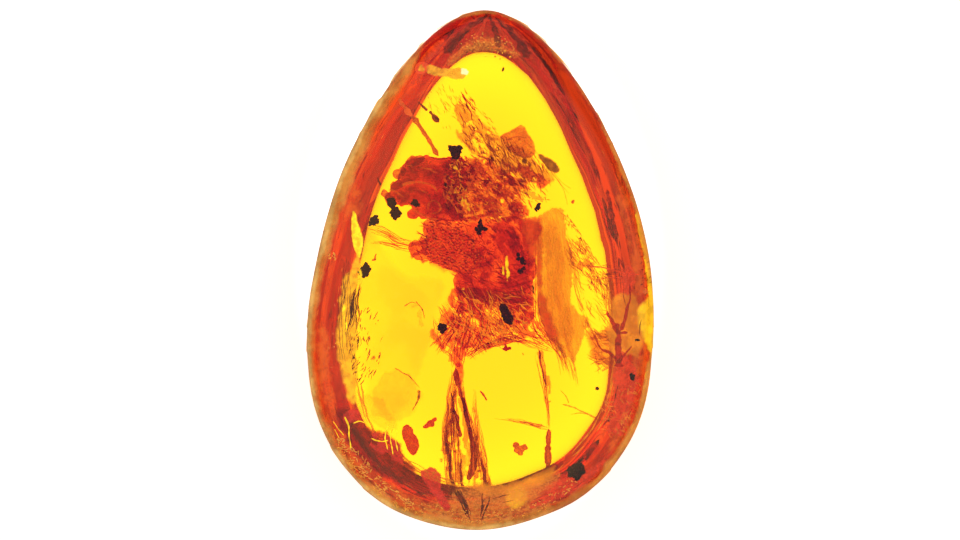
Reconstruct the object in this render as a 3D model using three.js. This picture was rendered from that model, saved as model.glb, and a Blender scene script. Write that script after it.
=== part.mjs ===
// A polished drop of clear amber, lying on its back: the stone that holds the small skull.
// Millimetres, +Z up. The stone lies in the XY plane with its pointed end towards +Y.
// The origin is at the middle of the stone, on the flat spot that it rests on.
import * as THREE from 'three';

// --- Driving dimensions ---------------------------------------------------------------------

const LENGTH = 32;          // from the blunt end to the tip
const FRONT_RISE = 4.6;     // from the widest line up to the top of the front
const BACK_DROP = 5.9;      // from the widest line down to the flat that was polished on the back
const FLAT_CUT = 0.25;      // how much the flat took off the back
const EDGE_RADIUS = 1.5;    // the round edge between front and back

const CROWN_Y = -1.9;       // the highest point of the front lies a little below the middle
const FULLNESS = 0.3;       // how full the profile is, per millimetre from the crown to the edge

const SWELL_HEIGHT = 0.05;  // unevenness left by polishing by hand
const SWELL_LENGTH = 7.5;   // from crest to crest

const AROUND = 84;          // faces around the stone
const FRONT_RINGS = 15;     // faces from the crown out to the round edge
const EDGE_RINGS = 6;       // faces round the edge
const BACK_RINGS = 12;      // faces from the round edge in to the flat

// --- Outline --------------------------------------------------------------------------------

// Seen from above, anticlockwise from the blunt end to the tip and back: [x, y].
const OUTLINE = [
  [-0.4, -LENGTH / 2], [3.9, -15.1], [6.9, -13.4], [9.6, -9.7], [10.6, -4.2], [10.3, 1.2],
  [8.6, 6.8], [5.4, 12.3], [2.7, 15.1], [0.2, LENGTH / 2], [-2.1, 15.1], [-4.9, 12.3],
  [-8.2, 6.8], [-9.95, 1.3], [-10.7, -4.2], [-9.8, -9.7], [-7.2, -13.4], [-4.6, -15.1],
];

/** Points of the smooth closed line through the outline, as offsets from the crown. */
function outlineOffsets() {
  const corners = OUTLINE.map(([x, y]) => new THREE.Vector3(x, y, 0));
  const curve = new THREE.CatmullRomCurve3(corners, true, 'centripetal');
  const crown = new THREE.Vector3(0, CROWN_Y, 0);
  return curve.getSpacedPoints(AROUND).slice(0, AROUND).map((point) => point.sub(crown));
}

// --- Profile --------------------------------------------------------------------------------

/**
 * One side of the profile without its round edge: a dome of a given height and reach.
 * Gives the point at a share of the way out, moved out by the edge radius along the normal.
 */
function domePoint(share, height, reach) {
  const power = FULLNESS * (reach + EDGE_RADIUS);
  const steepness = (height * power * Math.pow(share, power - 1)) / reach;
  const normal = new THREE.Vector2(steepness, 1).normalize();
  const point = new THREE.Vector2(reach * share, height * (1 - Math.pow(share, power)));
  return point.addScaledVector(normal, EDGE_RADIUS);
}

/** Shares of the way out, from near the crown to the edge, closer together near the edge. */
function sharesOut(rings) {
  return Array.from({ length: rings }, (_, ring) => Math.sin(((ring + 1) / rings) * (Math.PI / 2)));
}

/** Steps of the round edge from the front's last normal to the back's, ends left out. */
function edgePoints(reach, frontHeight, backHeight) {
  const slope = (height) => Math.atan((height * FULLNESS * (reach + EDGE_RADIUS)) / reach);
  const from = Math.PI / 2 - slope(frontHeight);
  const to = slope(backHeight) - Math.PI / 2;
  return Array.from({ length: EDGE_RINGS - 1 }, (_, step) => {
    const angle = from + ((to - from) * (step + 1)) / EDGE_RINGS;
    return new THREE.Vector2(reach + EDGE_RADIUS * Math.cos(angle), EDGE_RADIUS * Math.sin(angle));
  });
}

/** The whole profile from the crown's first ring to the rim of the flat: [distance out, height]. */
function profile(fullReach) {
  const reach = fullReach - EDGE_RADIUS;
  const frontHeight = FRONT_RISE - EDGE_RADIUS;
  const backHeight = BACK_DROP + FLAT_CUT - EDGE_RADIUS;
  const front = sharesOut(FRONT_RINGS).map((share) => domePoint(share, frontHeight, reach));
  const back = [];
  const flatShare = shareAtDepth(BACK_DROP, backHeight, reach);
  for (let ring = 0; ring <= BACK_RINGS; ring++) {
    const inner = Math.asin(flatShare);
    const share = Math.sin(Math.PI / 2 + ((inner - Math.PI / 2) * ring) / BACK_RINGS);
    const point = domePoint(share, backHeight, reach);
    back.push(new THREE.Vector2(point.x, -Math.min(point.y, BACK_DROP)));
  }
  back[BACK_RINGS].y = -BACK_DROP;
  return [...front, ...edgePoints(reach, frontHeight, backHeight), ...back];
}

/** The share of the way out at which a dome is as deep as the flat, found by halving. */
function shareAtDepth(depth, height, reach) {
  let low = 0;
  let high = 1;
  for (let turn = 0; turn < 40; turn++) {
    const middle = (low + high) / 2;
    if (domePoint(middle, height, reach).y > depth) low = middle;
    else high = middle;
  }
  return low;
}

/** Low swells over the front, which die out towards the edge. */
function swell(x, y, share) {
  const turn = (2 * Math.PI) / SWELL_LENGTH;
  const across = Math.sin(turn * x + 0.8) * Math.cos(turn * y * 0.7);
  const along = Math.sin(turn * (x + y) * 0.55);
  return (SWELL_HEIGHT / 2) * (across + along) * (1 - share * share);
}

// --- The stone ------------------------------------------------------------------------------

/** The closed surface of the stone: the crown, rings out to the edge, and back to the flat. */
function stoneGeometry() {
  const offsets = outlineOffsets();
  const profiles = offsets.map((offset) => profile(offset.length()));
  const rings = profiles[0].length;
  const positions = [];
  const addPoint = (x, y, z) => positions.push(x, y + CROWN_Y, z + BACK_DROP);

  addPoint(0, 0, FRONT_RISE + swell(0, 0, 0));
  for (let ring = 0; ring < rings; ring++) {
    offsets.forEach((offset, step) => {
      const point = profiles[step][ring];
      const share = point.x / offset.length();
      const lift = ring < FRONT_RINGS ? swell(offset.x * share, offset.y * share, share) : 0;
      addPoint(offset.x * share, offset.y * share, point.y + lift);
    });
  }
  addPoint(0, 0, -BACK_DROP);

  const geometry = new THREE.BufferGeometry();
  geometry.setAttribute('position', new THREE.Float32BufferAttribute(positions, 3));
  geometry.setIndex(stoneFaces(rings));
  geometry.computeBoundingBox();
  const middle = geometry.boundingBox.getCenter(new THREE.Vector3());
  geometry.translate(-middle.x, -middle.y, 0);
  geometry.computeVertexNormals();
  return geometry;
}

/** Triangles that join the crown, the rings and the middle of the flat, facing out. */
function stoneFaces(rings) {
  const faces = [];
  const corner = (ring, step) => 1 + ring * AROUND + (step % AROUND);
  const flatMiddle = 1 + rings * AROUND;
  for (let step = 0; step < AROUND; step++) {
    faces.push(0, corner(0, step), corner(0, step + 1));
    for (let ring = 0; ring < rings - 1; ring++) {
      const inner = corner(ring, step);
      const outer = corner(ring + 1, step);
      const nextOuter = corner(ring + 1, step + 1);
      const nextInner = corner(ring, step + 1);
      faces.push(inner, outer, nextOuter, inner, nextOuter, nextInner);
    }
    faces.push(corner(rings - 1, step), flatMiddle, corner(rings - 1, step + 1));
  }
  return faces;
}

const amber = new THREE.MeshStandardMaterial({
  name: 'clear amber',
  color: 0xf0a010,
  roughness: 0.05,
  metalness: 0,
  transparent: true,
  opacity: 0.6,
});

const stone = new THREE.Mesh(stoneGeometry(), amber);
stone.name = 'amber_drop';

const group = new THREE.Group();
group.add(stone);

export default group;
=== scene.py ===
"""A drop of clear amber with a small fossil skull in it, lying on a pale lit floor.

The stone comes from the frame. What is sealed in it is modelled as it is seen from straight above,
in millimetres, and is then sunk into the stone along the bent lines of sight, so that each piece
shows through the domed front in its own place.
"""
import logging
import math
import random
from dataclasses import dataclass, fields
from enum import Enum

import bpy
import numpy as np
from mathutils import Matrix, Vector, noise
from mathutils.bvhtree import BVHTree
from mathutils.kdtree import KDTree


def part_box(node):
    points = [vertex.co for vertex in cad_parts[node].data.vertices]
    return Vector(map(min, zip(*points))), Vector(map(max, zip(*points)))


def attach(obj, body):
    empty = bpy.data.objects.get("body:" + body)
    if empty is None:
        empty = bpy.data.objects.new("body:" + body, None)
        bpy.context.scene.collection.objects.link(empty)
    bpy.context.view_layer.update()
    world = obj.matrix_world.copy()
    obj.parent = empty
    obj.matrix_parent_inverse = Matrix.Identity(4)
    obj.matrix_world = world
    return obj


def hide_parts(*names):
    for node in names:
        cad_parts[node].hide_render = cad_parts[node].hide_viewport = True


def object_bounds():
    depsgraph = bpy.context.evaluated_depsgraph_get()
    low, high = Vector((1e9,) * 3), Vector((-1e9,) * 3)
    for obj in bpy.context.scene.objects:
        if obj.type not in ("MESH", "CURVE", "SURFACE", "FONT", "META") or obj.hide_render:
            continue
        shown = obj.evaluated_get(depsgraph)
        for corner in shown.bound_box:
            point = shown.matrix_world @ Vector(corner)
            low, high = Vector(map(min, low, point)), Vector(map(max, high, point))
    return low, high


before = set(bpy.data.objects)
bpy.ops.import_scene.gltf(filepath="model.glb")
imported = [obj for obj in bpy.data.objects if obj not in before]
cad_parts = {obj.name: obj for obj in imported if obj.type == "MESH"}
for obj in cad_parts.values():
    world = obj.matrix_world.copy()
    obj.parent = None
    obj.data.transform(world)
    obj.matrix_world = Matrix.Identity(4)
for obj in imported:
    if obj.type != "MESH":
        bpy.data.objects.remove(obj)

MM = 0.001
CAD_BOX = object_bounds()
LOG = logging.getLogger("amber")
# How high up the stone its widest part is.
WAIST = 0.56
# How far apart the seeds of the shapes of one piece are.
SEED_STEP = 0.61

Triple = tuple[float, float, float]
Spot = tuple[float, float]
Spots = tuple[Spot, ...]


class Slot(Enum):
    """The record's material slots."""

    AMBER = "amber"
    FOSSIL = "fossil"
    GRIT = "grit"


# ---------------------------------------------------------------------------- finishes


class NodeSheet:
    """The nodes of one material, with short ways to add and join them."""

    def __init__(self, name: str) -> None:
        """Start an empty material.

        Args:
            name: The material's name.
        """
        self.material = bpy.data.materials.new(name)
        self.material.use_nodes = True
        self.tree = self.material.node_tree
        self.tree.nodes.clear()
        self.output = self.tree.nodes.new("ShaderNodeOutputMaterial")
        place = self.tree.nodes.new("ShaderNodeTexCoord")
        scale = self.tree.nodes.new("ShaderNodeMapping")
        scale.inputs["Scale"].default_value = (1 / MM,) * 3
        self.tree.links.new(place.outputs["Object"], scale.inputs["Vector"])
        self.place = scale.outputs["Vector"]

    def add(self, kind: str, settings: dict | None = None, **inputs: object) -> bpy.types.Node:
        """Add a node.

        Args:
            kind: The node's type without its "ShaderNode" start.
            settings: The node's own properties.
            **inputs: Its sockets by name, with underscores for spaces: a value or a socket.

        Returns:
            The new node.
        """
        node = self.tree.nodes.new("ShaderNode" + kind)
        for name, value in (settings or {}).items():
            setattr(node, name, value)
        for name, value in inputs.items():
            self.plug(node.inputs[name.replace("_", " ")], value)
        return node

    def plug(self, socket: bpy.types.NodeSocket, value: object) -> None:
        """Set a socket to a value, or link another socket to it.

        Args:
            socket: The input to fill.
            value: A number, a colour or an output socket.
        """
        if isinstance(value, bpy.types.NodeSocket):
            self.tree.links.new(value, socket)
        elif isinstance(value, tuple) and socket.type == "RGBA":
            socket.default_value = (*value, 1.0)
        else:
            socket.default_value = value

    def drawn_place(self, stretch: float, turn: float) -> bpy.types.NodeSocket:
        """The place in millimetres, with a pattern drawn out along one way.

        Args:
            stretch: How many times longer the pattern is along its own way.
            turn: The angle of that way from X, in degrees.

        Returns:
            The socket with the place.
        """
        turned = self.add("Mapping", Vector=self.place)
        turned.inputs["Rotation"].default_value = (0, 0, math.radians(-turn))
        drawn = self.add("Mapping", Vector=turned.outputs["Vector"])
        drawn.inputs["Scale"].default_value = (1 / stretch, 1, 1)
        return drawn.outputs["Vector"]

    def grain(
        self, size: float, detail: float = 3.0, stretch: float = 1.0, turn: float = 0.0,
    ) -> bpy.types.NodeSocket:
        """Soft noise over the piece.

        Args:
            size: The size of its patches in millimetres.
            detail: How many finer layers it has.
            stretch: How many times longer the patches are along their own way.
            turn: The angle of that way from X, in degrees.

        Returns:
            A socket from 0 to 1.
        """
        where = self.drawn_place(stretch, turn)
        noisy = self.add("TexNoise", Vector=where, Scale=1 / size, Detail=detail, Roughness=0.62)
        return noisy.outputs["Fac"]

    def net(self, size: float, stretch: float = 1.0, turn: float = 0.0) -> bpy.types.NodeSocket:
        """A net of cells, like small scales.

        Args:
            size: The size of a cell in millimetres.
            stretch: How many times longer the cells are along their own way.
            turn: The angle of that way from X, in degrees.

        Returns:
            A socket with the distance from the net's lines.
        """
        where = self.drawn_place(stretch, turn)
        cells = self.add(
            "TexVoronoi", {"feature": "DISTANCE_TO_EDGE"}, Vector=where, Scale=1 / size, Randomness=0.55,
        )
        return cells.outputs["Distance"]

    def step(
        self, value: object, low: float, high: float, start: float = 0.0, end: float = 1.0,
    ) -> bpy.types.NodeSocket:
        """Turn a range of values into another one, smoothly and held at both ends.

        Args:
            value: The socket to read.
            low: The value that gives start.
            high: The value that gives end.
            start: The result at low.
            end: The result at high.

        Returns:
            The socket with the result.
        """
        made = self.add("MapRange", {"interpolation_type": "SMOOTHSTEP"}, Value=value)
        for name, number in zip(("From Min", "From Max", "To Min", "To Max"), (low, high, start, end)):
            made.inputs[name].default_value = number
        return made.outputs["Result"]

    def between(self, share: object, first: object, second: object) -> bpy.types.NodeSocket:
        """Mix two colours.

        Args:
            share: How much of the second, 0 to 1.
            first: A colour or socket.
            second: A colour or socket.

        Returns:
            The socket with the mixed colour.
        """
        node = self.add("Mix", {"data_type": "RGBA"})
        self.plug(node.inputs["Factor"], share)
        self.plug(node.inputs[6], first)
        self.plug(node.inputs[7], second)
        return node.outputs[2]

    def blend(self, share: object, first: object, second: object) -> bpy.types.NodeSocket:
        """Mix two shaders.

        Args:
            share: How much of the second, 0 to 1.
            first: A shader socket.
            second: A shader socket.

        Returns:
            The socket with the mixed shader.
        """
        node = self.add("MixShader")
        self.plug(node.inputs[0], share)
        self.plug(node.inputs[1], first)
        self.plug(node.inputs[2], second)
        return node.outputs[0]

    def fade(self, shader: bpy.types.NodeSocket, cloud: bpy.types.NodeSocket) -> bpy.types.NodeSocket:
        """Let a film fade out towards its frayed border.

        Args:
            shader: The film's shader.
            cloud: Noise that makes the fading uneven.

        Returns:
            The socket with the faded shader.
        """
        fray = self.add("Attribute", {"attribute_name": "fray"})
        uneven = self.add("Math", {"operation": "MULTIPLY_ADD"})
        self.plug(uneven.inputs[0], cloud)
        self.plug(uneven.inputs[1], 0.5)
        self.plug(uneven.inputs[2], fray.outputs["Fac"])
        gone = self.step(uneven.outputs[0], 0.55, 1.25)
        nothing = self.add("BsdfTransparent", Color=(1.0, 1.0, 1.0))
        return self.blend(gone, shader, nothing.outputs[0])

    def soak(self, loss: Triple) -> None:
        """Give the bulk an even colour by what it takes from the light.

        Args:
            loss: What each millimetre takes of red, green and blue, as exponents.
        """
        most = max(loss)
        bulk = self.add("VolumeAbsorption")
        bulk.inputs["Density"].default_value = most / MM
        bulk.inputs["Color"].default_value = (*(1 - part / most for part in loss), 1.0)
        self.tree.links.new(bulk.outputs[0], self.output.inputs["Volume"])

    def done(self, surface: bpy.types.NodeSocket) -> bpy.types.Material:
        """Join the last shader to the output.

        Args:
            surface: The last shader's socket.

        Returns:
            The finished material.
        """
        self.tree.links.new(surface, self.output.inputs["Surface"])
        self.material.cycles.emission_sampling = "NONE"
        return self.material


@dataclass(frozen=True)
class AmberFinish:
    """Clear polished amber, yellow where it is thin and red where light travels far in it."""

    loss: Triple = (0.010, 0.088, 0.900)
    bending: float = 1.54
    polish: float = 0.0

    def material(self) -> bpy.types.Material:
        """Make the see-through material with its bulk colour."""
        sheet = NodeSheet("clear amber")
        clear = sheet.add(
            "BsdfPrincipled", Base_Color=(1.0, 1.0, 1.0), Roughness=self.polish, IOR=self.bending,
            Transmission_Weight=1.0,
        )
        sheet.soak(self.loss)
        return sheet.done(clear.outputs[0])


@dataclass(frozen=True)
class TissueFinish:
    """Dried tissue in amber: stained light passes through it and a share of it is scattered.

    The thin and the thick stain are what one skin of the piece lets through. The grit is how dark
    its fine grain is, the glow is the share of light that the tissue scatters in its own colour, the
    front is how much of that it throws back from above, and the loss is what each millimetre of a
    thick piece takes besides.
    """

    BALANCE = (0.43, 0.57)
    FRONT = 0.4
    name: str
    thin: Triple
    thick: Triple
    flesh: Triple = (0.9, 0.2, 0.05)
    patch: float = 0.5
    stretch: float = 1.0
    turn: float = 0.0
    grit: float = 0.35
    glow: float = 0.15
    pinholes: float = 0.0
    scales: float = 0.0
    loss: Triple | None = None

    def material(self) -> bpy.types.Material:
        """Make the stained, mottled material."""
        sheet = NodeSheet(self.name)
        cloud = sheet.grain(self.patch, 5.0, self.stretch, self.turn)
        fine = sheet.grain(self.patch * 0.25, 3.0, self.stretch, self.turn)
        stain = sheet.between(sheet.step(cloud, *self.BALANCE), self.thin, self.thick)
        deep = tuple(part * part * 0.9 for part in self.thick)
        stain = sheet.between(sheet.step(fine, 0.5, 0.62, 0.0, self.grit), stain, deep)
        pale = tuple(part**0.4 for part in self.thin)
        stain = sheet.between(sheet.step(fine, 0.4, 0.3, 0.0, self.grit), stain, pale)
        if self.scales:
            lines = sheet.net(self.scales, 1.5, self.turn)
            stain = sheet.between(sheet.step(lines, 0.03, 0.2, 0.9, 0.0), stain, self.thick)
        if self.pinholes:
            tiny = sheet.grain(self.patch * 0.5, 3.0, self.stretch, self.turn)
            edge = 0.75 - 0.3 * self.pinholes
            stain = sheet.between(sheet.step(tiny, edge, edge + 0.06), stain, (1.0, 0.96, 0.9))
        passed = sheet.add("BsdfTransparent", Color=stain)
        bump = sheet.add("Bump", Height=fine, Strength=0.5, Distance=0.05 * MM)
        skin = sheet.add("BsdfPrincipled", Base_Color=self.flesh, Roughness=0.35, Normal=bump.outputs[0])
        lit = sheet.add("BsdfTranslucent", Color=self.flesh, Normal=bump.outputs[0])
        scattered = sheet.blend(1 - self.FRONT, skin.outputs[0], lit.outputs[0])
        if self.loss:
            sheet.soak(self.loss)
        share = sheet.step(fine, 0.35, 0.65, self.glow * 1.3, self.glow * 0.6)
        mixed = sheet.blend(share, passed.outputs[0], scattered)
        return sheet.done(sheet.fade(mixed, fine))


@dataclass(frozen=True)
class PaintedGlowFinish:
    """Painted glow: a crack, gap, stain or band that shines by its own emission, golden by default,
    standing in for the light from below that it would let through or catch.
    """

    name: str = "golden crack glow"
    light: Triple = (1.0, 0.7, 0.01)
    clear: float = 0.15
    shine: float = 1.9
    patch: float = 0.3

    def material(self) -> bpy.types.Material:
        """Make the light-catching material."""
        sheet = NodeSheet(self.name)
        cloud = sheet.grain(self.patch)
        passed = sheet.add("BsdfTransparent", Color=(1.0, 0.96, 0.7))
        shine = sheet.step(cloud, 0.35, 0.65, self.shine, self.shine * 0.6)
        # Painted glow: this emission makes the piece shine though it is no lamp.
        bright = sheet.add("Emission", Color=self.light, Strength=shine)
        lit = sheet.add("BsdfTranslucent", Color=self.light)
        caught = sheet.blend(0.4, bright.outputs[0], lit.outputs[0])
        share = sheet.step(cloud, 0.35, 0.65, 1 - self.clear, 1 - self.clear * 1.7)
        return sheet.done(sheet.fade(sheet.blend(share, passed.outputs[0], caught), cloud))


@dataclass(frozen=True)
class CrumbFinish:
    """Black and dark brown soil or wood."""

    name: str = "dark crumb"
    dark: Triple = (0.003, 0.001, 0.001)
    light: Triple = (0.14, 0.012, 0.012)
    patch: float = 0.14

    def material(self) -> bpy.types.Material:
        """Make the rough dark material."""
        sheet = NodeSheet(self.name)
        cloud = sheet.grain(self.patch, 4.0)
        bump = sheet.add("Bump", Height=cloud, Strength=0.8, Distance=0.03 * MM)
        colour = sheet.between(sheet.step(cloud, 0.52, 0.68), self.dark, self.light)
        body = sheet.add(
            "BsdfPrincipled", Base_Color=colour, Roughness=0.6, IOR=1.56, Specular_IOR_Level=0.05,
            Normal=bump.outputs[0],
        )
        return sheet.done(body.outputs[0])


@dataclass(frozen=True)
class BubbleFinish:
    """The skin of a gas bubble, which bends light the other way round."""

    name: str = "gas bubble"
    bending: float = 1 / 1.54

    def material(self) -> bpy.types.Material:
        """Make the bubble's skin."""
        sheet = NodeSheet(self.name)
        cloud = sheet.grain(0.2)
        skin = sheet.add(
            "BsdfPrincipled", Base_Color=(1.0, 1.0, 1.0), IOR=self.bending, Transmission_Weight=1.0,
            Roughness=sheet.step(cloud, 0.4, 0.6, 0.0, 0.04),
        )
        return sheet.done(skin.outputs[0])


# ---------------------------------------------------------------------------- workbench


class Bench:
    """Short ways to start, shape and finish a piece with Blender's own tools, in millimetres."""

    @staticmethod
    def hold(*pieces: bpy.types.Object) -> bpy.types.Object:
        """Select only these pieces and make the first one active."""
        if bpy.context.object and bpy.context.object.mode != "OBJECT":
            bpy.ops.object.mode_set(mode="OBJECT")
        bpy.ops.object.select_all(action="DESELECT")
        for piece in pieces:
            piece.select_set(True)
        bpy.context.view_layer.objects.active = pieces[0]
        return pieces[0]

    @staticmethod
    def places(piece: bpy.types.Object) -> np.ndarray:
        """The places of a piece's points.

        Args:
            piece: The piece to read.

        Returns:
            The places, one row each.
        """
        flat = np.empty(len(piece.data.vertices) * 3)
        piece.data.vertices.foreach_get("co", flat)
        return flat.reshape(-1, 3)

    @staticmethod
    def move_to(piece: bpy.types.Object, places: np.ndarray) -> None:
        """Put a piece's points at new places."""
        piece.data.vertices.foreach_set("co", places.ravel())
        piece.data.update()

    @staticmethod
    def ball(place: Triple, radii: Triple, turn: float = 0.0, fineness: int = 4) -> bpy.types.Object:
        """Add a ball drawn out along its axes.

        Args:
            place: Its middle.
            radii: Its half size along X, Y and Z before it is turned.
            turn: Angle about Z in degrees.
            fineness: Subdivisions of the ball.

        Returns:
            The ball, with its shape in its mesh.
        """
        bpy.ops.object.select_all(action="DESELECT")
        bpy.ops.mesh.primitive_ico_sphere_add(subdivisions=fineness, radius=1.0)
        piece = bpy.context.object
        shape = Matrix.Rotation(math.radians(turn), 4, "Z") @ Matrix.Diagonal((*radii, 1.0))
        piece.data.transform(Matrix.Translation(place) @ shape)
        return piece

    @staticmethod
    def join(pieces: list[bpy.types.Object]) -> bpy.types.Object:
        """Join pieces into the first one.

        Args:
            pieces: The pieces, at least one.

        Returns:
            The one piece.
        """
        Bench.hold(*pieces)
        if len(pieces) > 1:
            bpy.ops.object.join()
        return bpy.context.object

    @staticmethod
    def use(piece: bpy.types.Object, kind: str, **settings: object) -> None:
        """Add a modifier and apply it.

        Args:
            piece: The piece to change.
            kind: The modifier's type.
            **settings: The modifier's own properties.
        """
        Bench.hold(piece)
        modifier = piece.modifiers.new(kind.title(), kind)
        for name, value in settings.items():
            setattr(modifier, name, value)
        bpy.ops.object.modifier_apply(modifier=modifier.name)

    @staticmethod
    def fuse(pieces: list[bpy.types.Object], voxel: float, rounds: int = 4) -> bpy.types.Object:
        """Melt overlapping pieces into one closed skin.

        Args:
            pieces: Closed pieces that overlap.
            voxel: Size of the new faces.
            rounds: How often the new skin is smoothed.

        Returns:
            The one piece.
        """
        piece = Bench.join(pieces)
        Bench.use(piece, "REMESH", mode="VOXEL", voxel_size=voxel)
        Bench.use(piece, "SMOOTH", factor=0.6, iterations=rounds)
        return piece

    @staticmethod
    def lumps(places: np.ndarray, layers: Spots, seed: float) -> np.ndarray:
        """Noise at many places.

        Args:
            places: One row for each place.
            layers: For each layer of noise, the size of its lumps and its strength.
            seed: Moves the noise, so that pieces differ.

        Returns:
            The summed noise at each place.
        """
        shift = Vector((seed * 7.3, seed * 3.1, seed * 5.7))
        total = np.zeros(len(places))
        for size, reach in layers:
            total += [reach * noise.noise(Vector(place) / size + shift) for place in places]
        return total

    @staticmethod
    def roughen(piece: bpy.types.Object, layers: Spots, seed: float = 0.0) -> None:
        """Push the surface in and out by noise.

        Args:
            piece: The piece to change.
            layers: For each layer of noise, the size of its lumps and how far they stand out.
            seed: Moves the noise, so that pieces differ.
        """
        places = Bench.places(piece)
        ways = np.empty(places.size)
        piece.data.vertices.foreach_get("normal", ways)
        Bench.move_to(piece, places + ways.reshape(-1, 3) * Bench.lumps(places, layers, seed)[:, None])

    @staticmethod
    def to_path(places: np.ndarray, path: np.ndarray) -> np.ndarray:
        """The distance of each place from a path, both seen from above.

        Args:
            places: One row for each place.
            path: The path's points, one row each.

        Returns:
            The distances.
        """
        nearest = np.full(len(places), np.inf)
        for start, end in zip(path[:-1, :2], path[1:, :2]):
            along = end - start
            share = (places[:, :2] - start) @ along / max(along @ along, 1e-9)
            foot = start + np.clip(share, 0, 1)[:, None] * along
            nearest = np.minimum(nearest, np.linalg.norm(places[:, :2] - foot, axis=1))
        return nearest

    @staticmethod
    def crease(piece: bpy.types.Object, path: np.ndarray, width: float, depth: float) -> None:
        """Press a groove into both faces of a lump along a path, or raise a ridge.

        Args:
            piece: The piece to change.
            path: The groove's path, seen from above.
            width: Half the groove's width.
            depth: How far each face is pressed in; less than nothing raises a ridge.
        """
        places = Bench.places(piece)
        ways = np.empty(places.size)
        piece.data.vertices.foreach_get("normal", ways)
        near = np.exp(-((Bench.to_path(places, path) / width) ** 2))
        places[:, 2] -= depth * near * ways.reshape(-1, 3)[:, 2]
        Bench.move_to(piece, places)

    @staticmethod
    def curve(points: tuple[tuple[float, ...], ...], count: int, closed: bool = False) -> np.ndarray:
        """Even points along a smooth line through some points.

        Args:
            points: The points the line goes through, flat or in space.
            count: How many points to give.
            closed: Whether the line comes back to its start.

        Returns:
            The points, one row each.
        """
        given = np.array(points, dtype=float)
        if closed:
            given = np.vstack((given[-1:], given, given[:2]))
        else:
            given = np.vstack((2 * given[0] - given[1], given, 2 * given[-1] - given[-2]))
        spans = len(given) - 3
        share = np.linspace(0, spans, count, endpoint=not closed)
        span = np.minimum(share.astype(int), spans - 1)
        t = (share - span)[:, None]
        a, b, c, d = (given[span + step] for step in range(4))
        bends = (2 * a - 5 * b + 4 * c - d) * t**2 + (3 * b - a - 3 * c + d) * t**3
        return b + 0.5 * ((c - a) * t + bends)

    @staticmethod
    def within(places: np.ndarray, outline: np.ndarray) -> np.ndarray:
        """Whether each place is inside an outline, seen from above.

        Args:
            places: One row for each place.
            outline: The outline's points, one row each.

        Returns:
            Yes or no for each place.
        """
        x, y = places[:, 0], places[:, 1]
        inside = np.zeros(len(places), dtype=bool)
        ends = np.roll(outline, -1, axis=0)
        for (x1, y1), (x2, y2) in zip(outline[:, :2], ends[:, :2]):
            if y1 != y2:
                crossing = (y1 > y) != (y2 > y)
                inside ^= crossing & (x < (x2 - x1) * (y - y1) / (y2 - y1) + x1)
        return inside

    @staticmethod
    def threads(paths: list[np.ndarray], widths: list[np.ndarray], sides: int = 0) -> bpy.types.Object:
        """Draw round threads along paths.

        Args:
            paths: The points of each thread.
            widths: The radius at each of those points.
            sides: Extra roundness of the threads.

        Returns:
            One mesh with all the threads.
        """
        line = bpy.data.curves.new("threads", "CURVE")
        line.dimensions = "3D"
        line.bevel_depth = 1.0
        line.bevel_resolution = sides
        line.use_fill_caps = True
        for path, radii in zip(paths, widths):
            thread = line.splines.new("POLY")
            thread.points.add(len(path) - 1)
            thread.points.foreach_set("co", np.column_stack((path, np.ones(len(path)))).ravel())
            thread.points.foreach_set("radius", np.asarray(radii, dtype=float))
        piece = bpy.data.objects.new("threads", line)
        bpy.context.scene.collection.objects.link(piece)
        Bench.hold(piece)
        bpy.ops.object.convert(target="MESH")
        return bpy.context.object


# ---------------------------------------------------------------------------- shapes of what is sealed in


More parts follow.
